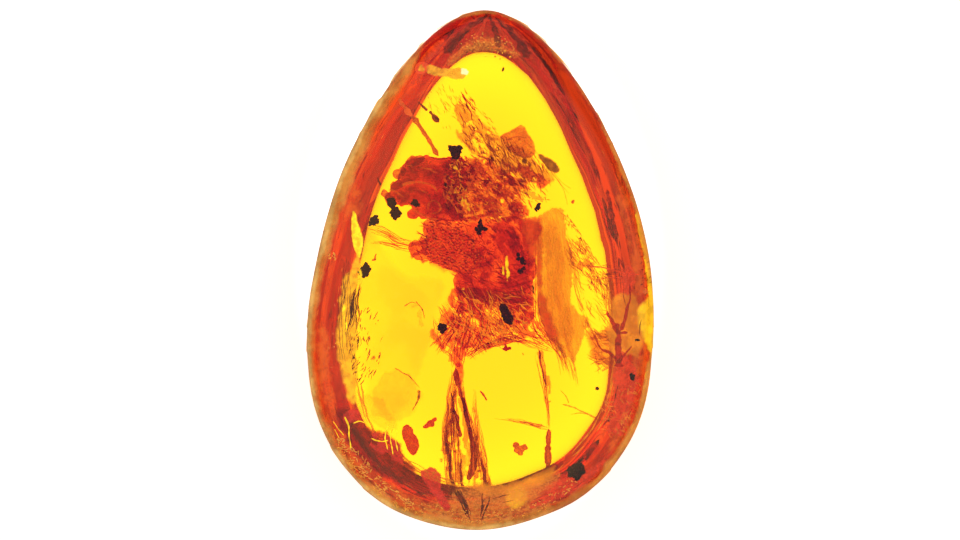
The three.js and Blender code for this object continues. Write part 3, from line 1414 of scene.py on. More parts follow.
@dataclass
class Head(Inclusions):
    """The small skull: braincase, snout, cheek and jaw, the folds over it and the ring of its eye."""

    skull: Layer = Layer(1, TissueFinish(
        "red bone", (0.82, 0.38, 0.6), (0.66, 0.22, 0.5), (0.75, 0.03, 0.06), patch=0.9, grit=0.25,
        glow=0.06, loss=(0.19, 0.55, 0.2),
    ), (
        Mass(balls=(((-2.6, 5.3, 6.1), (2.1, 1.55, 1.5), 8), ((-3.4, 5.2, 6.1), (1.5, 1.7, 1.3), 20),
            ((-1.3, 5.9, 5.9), (1.1, 0.85, 0.9), -25), ((-4.4, 4.7, 5.9), (1.1, 0.85, 0.9), 15),
            ((-3.3, 3.9, 5.8), (1.4, 0.75, 0.75), -35), ((-2.1, 3.75, 5.8), (1.2, 0.75, 0.75), -20),
            ((-5.3, 4.4, 5.8), (0.5, 0.42, 0.45), 30), ((-3.9, 3.5, 5.6), (0.45, 0.3, 0.35), 0)),
            rough=((1.1, 0.28), (0.4, 0.16), (0.16, 0.06)), creases=((((-4.7, 5.15), (-3.7, 5.35),
            (-2.8, 5), (-2.4, 4.4)), 0.1, 0.5), (((-4.6, 4.75), (-3.8, 4.95), (-3.1, 4.6), (-2.9, 4)), 0.07,
            0.35), (((-3.6, 6.5), (-2.9, 6), (-2.3, 5.9), (-1.8, 5.4)), 0.08, 0.3), (((-3.15, 4.2),
            (-2.8, 4.1), (-2.55, 3.8), (-2.6, 3.5), (-2.95, 3.4)), 0.06, 0.35), (((-4.2, 4.4), (-3.4, 4.4),
            (-2.6, 4.5), (-2.2, 4.1)), 0.3, -0.45), (((-3.9, 5.9), (-3.2, 5.7), (-2.5, 5.4)), 0.25, -0.35),
            (((-3.1, 3.4), (-2.3, 3.2), (-1.6, 3.4)), 0.1, -0.35))),
    ))
    skull_lobes: Layer = Layer(1.3, TissueFinish(
        "orange wax", (0.86, 0.6, 0.5), (0.7, 0.34, 0.4), (0.95, 0.2, 0.05), patch=0.25, glow=0.2,
        pinholes=0.4,
    ), (
        Mass((((-4.95, 5.85, 6.4), (0.36, 0.34, 0.3), 0), ((-4.72, 6.05, 6.4), (0.25, 0.25, 0.25), 0)),
            rough=((0.3, 0.06),), voxel=0.04),
        Mass((((-5.25, 5.1, 6.3), (0.22, 0.3, 0.25), 20), ((-4.95, 5.2, 6.2), (0.25, 0.3, 0.25), 0)),
            rough=((0.25, 0.08),), voxel=0.04),
        Mass((((-4.15, 6.6, 6.5), (0.42, 0.34, 0.35), 10), ((-3.75, 6.75, 6.4), (0.35, 0.25, 0.3), 0)),
            rough=((0.3, 0.1),), voxel=0.04),
        Mass((((-5.75, 4.6, 6.1), (0.25, 0.3, 0.25), 30), ((-5.5, 4.3, 6.1), (0.3, 0.3, 0.3), 0)),
            rough=((0.25, 0.1),), voxel=0.04),
    ))
    skull_shades: Layer = Layer(1.5, TissueFinish(
        "maroon bone", (0.88, 0.7, 0.8), (0.7, 0.45, 0.7), (0.5, 0.02, 0.05), grit=0.3, glow=0.05,
    ), (
        Film(((-4.6, 4.95), (-3.8, 5.15), (-3.1, 4.9), (-2.8, 4.4), (-3.3, 4.4), (-4, 4.55)), 7.2, 0.08,
            soft=0.25),
        Film(((-3.9, 6.4), (-2.8, 6.5), (-2, 6), (-1.9, 5.3), (-2.7, 5.5), (-3.6, 5.7)), 7.2, 0.08,
            soft=0.35),
        Film(((-3.3, 4.5), (-2.2, 4.8), (-1.7, 4.1), (-1.9, 3.3), (-2.7, 3.1), (-3.4, 3.5)), 7.2, 0.08,
            soft=0.35),
        Film(((-5.3, 4.6), (-4.7, 4.9), (-4.2, 4.5), (-4.5, 4), (-5.1, 4.1)), 7, 0.08, soft=0.25),
        Film(((-5, 5.2), (-4.6, 6.2), (-3.6, 6.8), (-2.9, 6.2), (-3.7, 5.6), (-4.4, 5)), 7.2, 0.08,
            soft=0.3),
    ))
    # Painted glow: thin films that light up parts of the skull by their own emission.
    skull_blushes: Layer = Layer(1.55, PaintedGlowFinish("bone glow", (0.9, 0.08, 0.05), 0.5, 0.75), (
        Film(((-5.2, 5), (-5, 5.9), (-4.3, 6.8), (-3.2, 7.1), (-2, 6.7), (-2.4, 6.2), (-3.6, 6),
            (-4.5, 5.3)), 7.5, 0.04, rag=((0.5, 0.25), (0.2, 0.12)), holes=(0.14, 0.42, 1.4, 30), soft=0.18,
            cell=0.05),
        Film(((-4.4, 3.9), (-3.4, 4.1), (-2.2, 3.7), (-1.5, 3.3), (-2.6, 3), (-3.8, 3.2)), 7.5, 0.04,
            rag=((0.5, 0.25), (0.2, 0.12)), holes=(0.14, 0.45, 1.8, -25), soft=0.18, cell=0.05),
        Film(((-3.3, 5.8), (-2.2, 5.9), (-1.7, 5), (-2.4, 4.7), (-3, 5.2)), 7.5, 0.04,
            holes=(0.14, 0.5, 1.5, -50), soft=0.18, cell=0.05),
    ))
    # Painted glow: the folds over the skull shine by their own emission.
    skull_folds: Layer = Layer(1.6, PaintedGlowFinish("fold glow", (1, 0.2, 0.07), 0.5, 0.95, patch=0.25), (
        Streak(((-4.8, 5.05), (-4.2, 5.3), (-3.6, 5.35), (-2.9, 5.1), (-2.5, 4.6)), 7.4, (0.07, 0.06),
            0.08),
        Streak(((-4.5, 4.6), (-3.9, 4.85), (-3.3, 4.7), (-2.95, 4.3)), 7.4, (0.04, 0.03), 0.06),
        Streak(((-3.15, 3.6), (-3.1, 4), (-2.8, 4.2), (-2.5, 4.05), (-2.4, 3.7), (-2.65, 3.45), (-3, 3.45)),
            7.4, (0.045, 0.04), 0.05),
        Streak(((-4.2, 3.7), (-3.6, 3.45), (-3.1, 3.15), (-2.5, 3)), 7.3, (0.06, 0.05), 0.08),
        Streak(((-3.7, 6.3), (-3, 6.1), (-2.3, 5.7), (-1.9, 5.2)), 7.4, (0.03, 0.05), 0.1),
        Streak(((-5.6, 4.9), (-5.1, 4.75), (-4.7, 4.4)), 7.2, (0.07, 0.03), 0.08),
        Streak(((-4.75, 6.2), (-4.4, 6.35), (-4.1, 6.3)), 7.3, (0.03, 0.03), 0.05),
        Streak(((-2.3, 4.9), (-2.1, 4.4), (-1.9, 3.8)), 7.4, (0.03, 0.04), 0.08),
    ))


@dataclass
class Nape(Inclusions):
    """The torn, waxy tissue behind the head, full of small clear gaps."""

    red: TissueFinish = TissueFinish(
        "red nape", (0.86, 0.52, 0.6), (0.74, 0.34, 0.5), (0.95, 0.12, 0.05), patch=0.25, glow=0.12,
    )
    nape_fibres: Layer = Layer(2.4, red, (
        Dashes(((-1.9, 6.7), (0.4, 6.9), (2, 6.4), (4, 5.6), (2.8, 5), (2.8, 3.2), (-1.6, 3.2)), 7.1, -48,
            330, (0.15, 0.6), (0.02, 0.045), deep=0.4),
    ))
    nape_glints: Layer = Layer(2.5, PaintedGlowFinish("orange glints", (1, 0.34, 0.07), 0.2, 1.1), (
        Dashes(((-1.9, 6.7), (0.4, 6.9), (2, 6.4), (3.4, 5.6), (2.6, 4.6), (2.8, 3.2), (-1.6, 3.2)), 7.4,
            -50, 200, (0.08, 0.35), (0.015, 0.035), fan=30, deep=0.2),
    ))
    nape: Layer = Layer(2, TissueFinish(
        "orange nape", (0.86, 0.66, 0.6), (0.72, 0.4, 0.5), (1, 0.3, 0.06), patch=0.25, stretch=2.2,
        turn=-50, grit=0.5,
    ), (
        Film(((-2.2, 6.6), (-1, 6.95), (0.2, 6.9), (1.1, 6.5), (1.9, 5.9), (2.9, 5.3), (2.6, 4.5),
            (2.8, 3.3), (2, 2.8), (0.6, 3.1), (-0.4, 2.9), (-1.7, 3.1), (-2.2, 4.4)), 5.7, 0.12,
            holes=(0.16, 0.01, 2, -45), rag=((0.8, 0.25), (0.3, 0.15)), wrinkles=((0.9, 0.3), (0.3, 0.12))),
        Film(((-1.7, 6.6), (0.1, 6.7), (1.4, 6.1), (2.3, 5.2), (2.4, 3.9), (1.9, 3), (0.2, 3.2),
            (-1.5, 3.6)), 6.4, 0.08, holes=(0.2, 0.14, 4, -50), rag=((0.8, 0.3), (0.3, 0.15)),
            wrinkles=((0.9, 0.3), (0.3, 0.12))),
    ))
    nape_red: Layer = Layer(2.3, red, (
        Film(((0, 5.9), (0.9, 5.7), (1.6, 4.9), (1.2, 4.3), (0.4, 4.9)), 6.8, 0.1,
            holes=(0.25, 0.25, 1.5, -40)),
        Film(((2.2, 6.5), (3.1, 6.35), (4, 5.7), (4.3, 5.2), (3.6, 5), (2.9, 5.4), (2.3, 5.8)), 7.6, 0.1,
            holes=(0.25, 0.06, 2, -30)),
        Film(((1.7, 4.1), (2.7, 4.1), (3, 3.5), (2.5, 3), (1.9, 3.2)), 6.9, 0.1),
        Film(((-0.4, 4.7), (0.3, 4.6), (1.1, 4.1), (0.3, 3.5), (-0.3, 3.8)), 6.5, 0.1,
            holes=(0.25, 0.2, 1, 0)),
        Film(((0.6, 7), (1.2, 6.6), (2.2, 5.6), (1.8, 5.2), (0.8, 6)), 6.4, 0.08,
            holes=(0.25, 0.3, 2.5, -50)),
    ))
    # Painted glow: films that light up the nape by their own emission.
    nape_glow: Layer = Layer(2.55, PaintedGlowFinish("nape glow", (1, 0.16, 0.05), 0.45, 0.95), (
        Film(((-1.9, 6.3), (-0.6, 6.8), (0.8, 6.4), (2, 5.2), (2.4, 4), (1.6, 3.3), (-0.6, 3.3),
            (-1.6, 4.6)), 7.45, 0.04, rag=((0.6, 0.3), (0.2, 0.15)), holes=(0.15, 0.38, 1.8, -48), soft=0.2,
            cell=0.05),
        Film(((-2.2, 6.2), (-1.4, 6.8), (-0.4, 6.6), (0.2, 5.6), (0, 4.6), (-0.5, 3.6), (-1.6, 3.4),
            (-2.1, 4.4)), 7.6, 0.04, rag=((0.5, 0.25), (0.2, 0.12)), holes=(0.14, 0.25, 1.6, -40),
            soft=0.25, cell=0.05),
        Film(((2.2, 6.3), (3.1, 6.2), (4, 5.6), (4.1, 5.2), (3.4, 5.1), (2.5, 5.6)), 7.8, 0.04,
            rag=((0.4, 0.2), (0.2, 0.1)), holes=(0.14, 0.25, 1.6, -30), soft=0.2, cell=0.05),
    ))
    # Painted glow: golden sparkles strewn over the nape, shining by their own emission.
    nape_sparkles: Layer = Layer(2.6, PaintedGlowFinish("golden sparkle glow", (1, 0.5, 0.05), 0.2, 1.25), (
        Dashes(((-1.7, 5.1), (-1, 5.2), (-0.4, 4.5), (-0.6, 3.9), (-1.4, 4.2)), 7.3, 40, 34, (0.06, 0.18),
            (0.015, 0.04), 60, 0.3),
        Dashes(((2.6, 5), (3.4, 4.9), (4.2, 4.3), (3.6, 4), (2.8, 4.3)), 7.5, -40, 26, (0.1, 0.3),
            (0.02, 0.04), 40, 0.2),
        Dashes(((-0.6, 5.4), (0.4, 5), (1.2, 5.6), (0.2, 6.3)), 7.3, 20, 9, (0.06, 0.18), (0.015, 0.04), 60,
            0.3),
        Dashes(((-1.9, 6.6), (-1.3, 6.8), (-0.9, 6.2), (-1.5, 5.9)), 7.3, 20, 8, (0.06, 0.18), (0.02, 0.05),
            60, 0.3),
        Dashes(((2.3, 3.6), (3.1, 3.9), (3.2, 3.3), (2.6, 2.9)), 7.3, 20, 9, (0.06, 0.16), (0.02, 0.04), 60,
            0.3),
    ))
    # Painted glow: the clear gaps shine yellow by their own emission, standing in for the backlight seen
    # through them.
    nape_gaps: Layer = Layer(2.7, PaintedGlowFinish("clear gap glow", (1, 0.56, 0.015), 0.2, 1.45, patch=0.2), (
        Film(((-1.15, 4.25), (-0.85, 4.35), (-0.75, 4.1), (-0.5, 4), (-0.65, 3.75), (-0.6, 3.55),
            (-0.9, 3.65), (-1.1, 3.55), (-1.05, 3.85), (-1.25, 4)), 7.5, 0.03, rag=((0.2, 0.08),
            (0.08, 0.06)), cell=0.04, soft=0.06),
        Film(((-1.7, 6.3), (-1.45, 6.35), (-1.3, 6.2), (-1.1, 6.25), (-1.35, 6.05), (-1.6, 6.1)), 7.5, 0.03,
            rag=((0.2, 0.08), (0.08, 0.06)), cell=0.04, soft=0.06),
        Film(((2.75, 4.85), (3.3, 4.75), (3.5, 4.5), (4, 4.3), (3.6, 4.2), (3.2, 4.35), (2.9, 4.5)), 7.5,
            0.03, rag=((0.2, 0.1), (0.08, 0.08)), cell=0.04, soft=0.08),
    ), 0.1)


@dataclass
class Trunk(Inclusions):
    """The neck and trunk: red flesh under a skin of fine scales, with a frayed foreleg."""

    stripe: TissueFinish = TissueFinish(
        "red stripe", (0.86, 0.6, 0.7), (0.72, 0.42, 0.6), (0.8, 0.06, 0.05), patch=0.3, glow=0.08,
    )
    trunk: Layer = Layer(3, TissueFinish(
        "red flesh", (0.9, 0.62, 0.6), (0.78, 0.4, 0.5), (1, 0.12, 0.05), patch=0.45, stretch=1.6, turn=-35,
        glow=0.08, loss=(0.08, 0.35, 0.2),
    ), (
        Mass(balls=(((-2, 2.15, 5.4), (1.6, 0.95, 0.8), -25), ((-1.9, 1, 5.3), (1.8, 0.95, 0.8), -20),
            ((-0.2, 1.6, 5.3), (1.8, 1.7, 1.3), -20), ((1.7, 1.6, 5.2), (1.3, 1.7, 1.3), -10), ((2.3, 0, 5),
            (1.05, 1.9, 1.4), 0), ((2.1, 1.1, 5.1), (0.8, 1.5, 1.7), 15), ((0.8, -0.5, 5), (1.6, 1.2, 1.2),
            -10), ((-0.6, -0.7, 5), (1, 0.8, 0.9), 30), ((-3.7, 1.2, 5.2), (0.7, 0.6, 0.5), 0),
            ((-0.5, -1.7, 5), (0.95, 0.8, 0.7), 50), ((1.5, -1.8, 5), (1.7, 0.7, 0.8), -10)),
            rough=((1, 0.22), (0.35, 0.12), (0.15, 0.05)), creases=((((-1.4, -0.1), (-0.9, -0.4),
            (-0.3, -0.7)), 0.07, -0.5), (((-0.3, -0.9), (0.8, -1.35), (1.9, -1.4), (3, -1.2)), 0.1, 0.35),
            (((0.3, -0.6), (1.4, -0.9), (2.4, -0.8), (3.2, -0.5)), 0.06, -0.3), (((0.5, -0.2), (1.2, -0.5),
            (2.2, -0.4), (3.1, -0.1)), 0.06, -0.3), (((1, 2.6), (1.9, 1.6), (2.6, 0.9), (3, -0.2)), 0.28,
            -0.5), (((0.2, 2.1), (0.9, 1.2), (1.5, 0.5)), 0.25, -0.3))),
    ))
    trunk_skin: Layer = Layer(3.2, TissueFinish(
        "scaly skin", (0.98, 0.9, 0.8), (0.84, 0.56, 0.5), (1, 0.2, 0.08), turn=-35, scales=0.2, glow=0.12,
    ), (
        Film(((-3.6, 3), (-2.6, 2.9), (-1.4, 2.8), (-0.4, 2.4), (0.5, 1.4), (0.7, -0.2), (-0.4, -0.9),
            (-1.4, -0.3), (-3.2, 0.3), (-3.7, 1.6)), 6.9, 0.06, rag=((0.8, 0.35), (0.25, 0.15)),
            wrinkles=((1.2, 0.25), (0.2, 0.05)), soft=0.5),
    ))
    trunk_stains: Layer = Layer(3.25, TissueFinish(
        "crimson stain", (0.94, 0.7, 0.85), (0.8, 0.48, 0.75), (0.85, 0.04, 0.06), patch=0.4, stretch=2,
        turn=-50, grit=0.4, glow=0.12,
    ), (
        Film(((0.9, 2.9), (2.2, 2.7), (2.9, 1.4), (3.3, 0.2), (3.3, -1.3), (2.3, -1.5), (1.2, -1.1),
            (0.9, -0.3), (1.3, 0.9), (0.7, 1.7)), 6.9, 0.08, rag=((0.8, 0.3), (0.25, 0.15)), soft=0.3),
        Film(((1.9, 2.6), (2.6, 1.6), (3.2, 0.4), (3.3, -0.6), (2.6, -0.4), (2.1, 0.6), (1.7, 1.7)), 7,
            0.08, rag=((0.6, 0.25), (0.25, 0.12)), holes=(0.3, 0.1, 1.5, -60), soft=0.3),
        Film(((-0.7, 1.4), (0.3, 1.5), (1, 0.7), (0.9, -0.6), (-0.2, -0.9), (-1.1, 0.1)), 6.9, 0.08,
            rag=((0.8, 0.3), (0.25, 0.15)), holes=(0.3, 0.15, 1.5, -40), soft=0.35),
        Film(((-1.5, -0.2), (0.2, -0.4), (1.8, -0.6), (3.3, -0.6), (3.3, -1.9), (1.6, -2.1), (-0.2, -1.8),
            (-1.5, -1.4)), 6.8, 0.08, rag=((0.6, 0.25), (0.25, 0.12)), soft=0.3),
        Film(((-0.4, 2.7), (0.5, 2.7), (1.2, 2.2), (1.3, 1), (1.1, 0.1), (0.2, 0.5), (-0.5, 1.3)), 7.1,
            0.06, rag=((0.6, 0.25), (0.25, 0.12)), holes=(0.2, 0.2, 1.5, -40), soft=0.35),
    ))
    scale_rows: Layer = Layer(3.3, stripe, (
        ScaleRows(((-3.2, 2.8), (-1.9, 2.8), (-0.6, 2), (-0.1, 1), (-0.4, -0.2), (-1.6, 0.1), (-3.2, 0.6)),
            7.3, -32, dash=(0.18, 0.045)),
        ScaleRows(((-0.9, 2.2), (0.6, 1.8), (0.8, 0.3), (0.1, -0.5), (-0.6, 0.2)), 7.3, -40, (0.3, 0.2),
            (0.14, 0.025)),
    ))
    # Painted glints: rows of dashes that shine between the scales by their own emission.
    scale_glints: Layer = Layer(3.32, PaintedGlowFinish("scale glint glow", (1, 0.26, 0.06), 0.4, 1, patch=0.25), (
        ScaleRows(((-3.2, 2.8), (-1.9, 2.8), (-0.6, 2.2), (0.1, 1.2), (-0.2, -0.1), (-1.6, 0.2),
            (-3.2, 0.6)), 7.5, -32, (0.24, 0.17), (0.12, 0.032)),
    ))
    trunk_fibres: Layer = Layer(3.35, stripe, (
        Dashes(((-3.5, 2.8), (-1, 2.9), (1, 2.9), (2.9, 2.4), (3.2, 0), (3.2, -1.8), (0, -1.8),
            (-1.4, -1.2), (-2, 0), (-3.6, 0.6)), 6.9, -35, 240, (0.2, 0.7), (0.02, 0.045), fan=18,
            deep=0.3),
    ))
    trunk_stripes: Layer = Layer(3.4, stripe, (
        Streak(((-1.35, -0.1), (-0.9, -0.35), (-0.45, -0.65)), 6.8, (0.05, 0.02), 0.05),
        Streak(((0.4, -0.35), (1.3, -0.75), (2.2, -0.7), (3.1, -0.3)), 6.8, (0.02, 0.03), 0.08),
        Streak(((0.2, -0.6), (1.2, -1.05), (2.1, -1), (3.2, -0.65)), 6.8, (0.02, 0.035), 0.08),
        Streak(((0.7, -0.1), (1.6, -0.4), (2.4, -0.3), (3.1, 0.1)), 6.8, (0.02, 0.025), 0.08),
        Streak(((0.1, -0.9), (1.1, -1.3), (2, -1.35), (3.2, -1)), 6.8, (0.02, 0.03), 0.08),
        Streak(((2, 2.2), (2.4, 1.6), (2.6, 0.9), (3, 0.2)), 6.8, (0.08, 0.1), 0.1),
        Streak(((1.5, 2.5), (2, 1.9), (2.3, 1.3)), 6.7, (0.1, 0.06), 0.1),
    ))
    foreleg: Layer = Layer(3.6, TissueFinish(
        "frayed leg", (0.88, 0.6, 0.5), (0.74, 0.34, 0.35), patch=0.25,
    ), (
        Film(((-3.2, 2.2), (-3.9, 2.1), (-4.4, 1.6), (-4.2, 1.2), (-4.5, 0.9), (-3.9, 0.5), (-3.2, 0.4),
            (-2.9, 1.2)), 5.8, 0.14, rag=((0.4, 0.2), (0.15, 0.12)), holes=(0.3, 0.15, 2, 10)),
    ))
    foreleg_wisps: Layer = Layer(3.7, TissueFinish(
        "golden wisp", (0.98, 0.8, 0.6), (0.88, 0.58, 0.5), patch=0.25, glow=0.1,
    ), (
        Bundle(((-6.9, 2.6), (-5.8, 2.2), (-4.9, 1.7), (-3.8, 1.5)), 5.8, (0.35, 0.25), 14, (0.012, 0.03)),
        Bundle(((-6.6, 1.7), (-5.6, 1.6), (-4.6, 1.3), (-3.7, 1.1)), 5.8, (0.15, 0.25), 9, (0.012, 0.03)),
    ))
    # Painted glow: the tears in the trunk shine golden by their own emission.
    trunk_tears: Layer = Layer(3.8, PaintedGlowFinish("golden tear glow", clear=0.1), (
        Film(((1.6, 1), (1.72, 0.5), (1.8, -0.1), (1.72, -0.6), (1.6, -0.75), (1.55, -0.1), (1.5, 0.4)),
            7.6, 0.03, rag=((0.25, 0.08), (0.1, 0.05)), wrinkles=((0.4, 0.05),), cell=0.04, soft=0.05),
        Film(((1.38, 0.4), (1.48, 0.1), (1.45, -0.35), (1.3, -0.1)), 7.6, 0.03, rag=((0.2, 0.05),),
            wrinkles=((0.4, 0.05),), cell=0.04, soft=0.05),
        Film(((-1.05, -1), (-0.9, -1.1), (-0.95, -1.25), (-1.15, -1.2)), 7.4, 0.04, rag=((0.2, 0.05),),
            cell=0.04),
    ))


@dataclass
class Fan(Inclusions):
    """The frayed fan of tissue below the waist, and the strands that hang from it."""

    red: TissueFinish = TissueFinish(
        "fan red", (0.92, 0.64, 0.5), (0.8, 0.42, 0.36), patch=0.25, pinholes=0.1,
    )
    brown: TissueFinish = TissueFinish(
        "brown strand", (0.93, 0.84, 0.65), (0.82, 0.64, 0.5), (0.9, 0.35, 0.1), patch=0.2, stretch=7,
        turn=-85, glow=0.12,
    )
    frays: tuple[Dashes, ...] = (
        Dashes(((-1.3, -1.4), (-2.8, -3.6), (-2.4, -5), (-1.2, -5.6), (0.2, -4.8), (1.6, -3.6), (1, -1.6)),
            6.7, -62, 170, (0.3, 1.1), (0.012, 0.034), fan=20),
        Dashes(((0.8, -1.6), (3.2, -1.2), (3.3, -3.2), (4.4, -4.6), (2.2, -4.2), (0.6, -4.4)), 6.7, -40,
            120, (0.3, 1.1), (0.012, 0.034), fan=20),
    )
    fan_frays: Layer = Layer(4.1, red, frays)
    fan_glints: Layer = Layer(4.35, PaintedGlowFinish("fan glints", (1, 0.42, 0.08), 0.25, 1.3), frays)
    fan: Layer = Layer(4, TissueFinish(
        "fan orange", (0.94, 0.72, 0.6), (0.84, 0.46, 0.4), (1, 0.32, 0.08), patch=0.25, stretch=3,
        turn=-60, glow=0.2, pinholes=0.2,
    ), (
        Film(((-1.5, -1), (-2.1, -2.2), (-2.8, -3.2), (-3.1, -4), (-2.8, -4.7), (-2.2, -5.2), (-1.7, -6.2),
            (-1.1, -6.3), (-0.9, -5.3), (0, -4.9), (1.2, -4.6), (2.4, -4.3), (3.6, -4.4), (4.4, -4.9),
            (3.9, -3.6), (3.4, -2.4), (3.3, -1.2), (1, -1.2)), 5.6, 0.12, holes=(0.35, 0.12, 3, -60),
            rag=((0.6, 0.35), (0.2, 0.15))),
        Film(((-1.3, -1), (-1.9, -2.5), (-2.5, -3.6), (-1.9, -4.8), (-1.2, -5.5), (-0.8, -4.9), (0.6, -4.6),
            (1.6, -4), (2.6, -3.9), (3.2, -2.6), (3, -1.2)), 4.9, 0.12, holes=(0.3, 0.3, 3, -45),
            rag=((0.6, 0.35), (0.2, 0.15))),
    ))
    fan_red: Layer = Layer(4.2, red, (
        Film(((-1.5, -1.2), (-1.3, -2.4), (-0.4, -2.7), (0.3, -2.9), (0.9, -2.3), (1.3, -1.6), (0.2, -1)),
            6.2, 0.14, holes=(0.4, 0.15, 1.5, -60), rag=((0.5, 0.3), (0.2, 0.12))),
        Film(((-2.3, -3), (-1.6, -3), (-1.2, -4), (-1.7, -5.2), (-2.6, -4.6), (-2.9, -4)), 6.2, 0.12,
            holes=(0.35, 0.3, 1.5, -60), rag=((0.5, 0.3), (0.2, 0.12))),
        Film(((1.9, -1.8), (3.2, -1.6), (3.3, -3.2), (2.6, -3.4), (2.1, -2.8)), 6, 0.12,
            holes=(0.4, 0.3, 1.5, -60), rag=((0.5, 0.3), (0.2, 0.12))),
        Film(((-1.6, -5.6), (-1, -5.7), (-0.9, -6.6), (-1.2, -7.2), (-1.5, -6.6)), 5.8, 0.14,
            rag=((0.5, 0.12),)),
    ))
    fan_rays: Layer = Layer(4.4, red, (
        Bundle(((-0.9, -1.6), (-1.4, -3), (-2.3, -4.4), (-2.7, -5)), 6.4, (0.3, 0.5), 18),
        Bundle(((-0.6, -1.8), (-0.9, -3.4), (-1.3, -5), (-1.5, -6.2)), 6.4, (0.4, 0.4), 18),
        Bundle(((-0.2, -2.2), (0, -3.4), (-0.4, -4.5), (-1, -5.4)), 6.4, (0.5, 0.4), 16),
        Bundle(((-0.8, -5.4), (0.2, -4.7), (1.6, -4.3), (3.2, -4.1)), 6.2, (0.15, 0.2), 22),
        Bundle(((0.6, -3), (1.4, -3.9), (2.4, -4.1), (4.4, -4.8)), 6.3, (0.4, 0.3), 18),
        Bundle(((3.2, -2.4), (3.6, -3.6), (4.4, -4.4), (5.4, -5.2)), 6.2, (0.2, 0.3), 14),
    ))
    strand_veil: Layer = Layer(4.5, TissueFinish(
        "pale strand veil", (0.97, 0.92, 0.7), (0.8, 0.68, 0.5), (1, 0.42, 0.1), patch=0.3, stretch=8,
        turn=-84, grit=0.5, glow=0.12,
    ), (
        Film(((-1.4, -6), (-1.9, -8), (-2.3, -10), (-2.2, -12), (-1.9, -13.6), (-0.9, -13.7), (-0.5, -11.8),
            (-0.6, -9.8), (-1, -7.6)), 5, 0.05, holes=(0.2, 0.12, 9, -80), rag=((0.5, 0.1), (0.15, 0.05)),
            soft=0.12),
        Film(((-0.6, -8.2), (-0.4, -10), (-0.2, -11.4), (-0.1, -13.6), (0.8, -13.8), (0.5, -12),
            (0.1, -10.2), (-0.2, -8.6)), 4.8, 0.05, holes=(0.18, 0.15, 9, -80), rag=((0.5, 0.12),
            (0.15, 0.05)), soft=0.1),
        Film(((3.4, -4.4), (3.7, -6.2), (4, -8.4), (4.4, -8.4), (4.3, -6.4), (4.1, -4.6)), 5.4, 0.05,
            holes=(0.18, 0.15, 9, -80), rag=((0.5, 0.1), (0.15, 0.05)), soft=0.12),
    ))
    fan_lights: Layer = Layer(4.45, PaintedGlowFinish("fan light", (1, 0.36, 0.05), 0.4, 1.1), (
        Film(((-0.6, -2.6), (0.5, -2.3), (1.3, -3), (1.5, -4.1), (0.4, -4.3), (-0.5, -3.9)), 6.9, 0.04,
            rag=((0.5, 0.2), (0.2, 0.12)), holes=(0.14, 0.4, 2.5, -60), soft=0.2, cell=0.05),
        Film(((-2.2, -3.2), (-1.4, -2.6), (-0.9, -3.6), (-1.6, -5), (-2.5, -4.6)), 6.9, 0.04,
            rag=((0.5, 0.2), (0.2, 0.12)), holes=(0.14, 0.5, 2.5, -60), soft=0.2, cell=0.05),
        Film(((1.8, -3.4), (3.2, -3.2), (4.2, -4.4), (3.4, -4.3), (2.4, -4.1)), 6.9, 0.04, rag=((0.5, 0.2),
            (0.2, 0.12)), holes=(0.14, 0.4, 2.5, -35), soft=0.2, cell=0.05),
    ))
    strand_shade: Layer = Layer(4.55, TissueFinish(
        "strand shade", (0.84, 0.66, 0.65), (0.7, 0.5, 0.5), (1, 0.3, 0.08), patch=0.25, stretch=8,
        turn=-84, grit=0.3, glow=0.1,
    ), (
        Film(((-0.35, -10), (0.05, -10.4), (0.4, -12), (0.9, -13.9), (-0.35, -13.9), (-0.4, -12)), 4.9,
            0.05, holes=(0.14, 0.12, 9, -84), rag=((0.5, 0.12), (0.15, 0.05)), soft=0.12),
        Film(((-1.9, -8.6), (-1.4, -8.8), (-1.1, -10.6), (-1, -12), (-1, -13.7), (-2.2, -13.7),
            (-2.5, -11.6)), 4.9, 0.05, holes=(0.14, 0.25, 9, -84), rag=((0.5, 0.12), (0.15, 0.05)),
            soft=0.15),
    ))
    strands: Layer = Layer(4.6, brown, (
        Bundle(((-1.5, -6), (-1.7, -8), (-1.7, -10.5), (-1.6, -13.6)), 5.2, (0.2, 0.5), 34, (0.015, 0.04),
            deep=0.7),
        Bundle(((-1.2, -6.4), (-0.9, -8.4), (-0.4, -10.6), (-0.5, -13.2)), 5.4, (0.12, 0.25), 22,
            (0.015, 0.04), deep=0.6),
        Bundle(((-0.4, -7.2), (-0.2, -9.6), (0.1, -11.5), (0.5, -13.8)), 5.2, (0.1, 0.3), 18, deep=0.5),
        Bundle(((-2, -8), (-2.2, -10), (-1.9, -12), (-1.8, -13.8)), 5, (0.1, 0.25), 12, (0.015, 0.03),
            deep=0.5),
        Bundle(((3.5, -4.6), (3.9, -6.6), (4.2, -8.6), (4.25, -9.8)), 5.6, (0.22, 0.1), 12),
        Bundle(((0.9, -8.95), (2.4, -9.2), (3.6, -9.5), (4.5, -9.7)), 6, (0.03, 0.08), 7, (0.012, 0.03),
            deep=0.2),
    ))
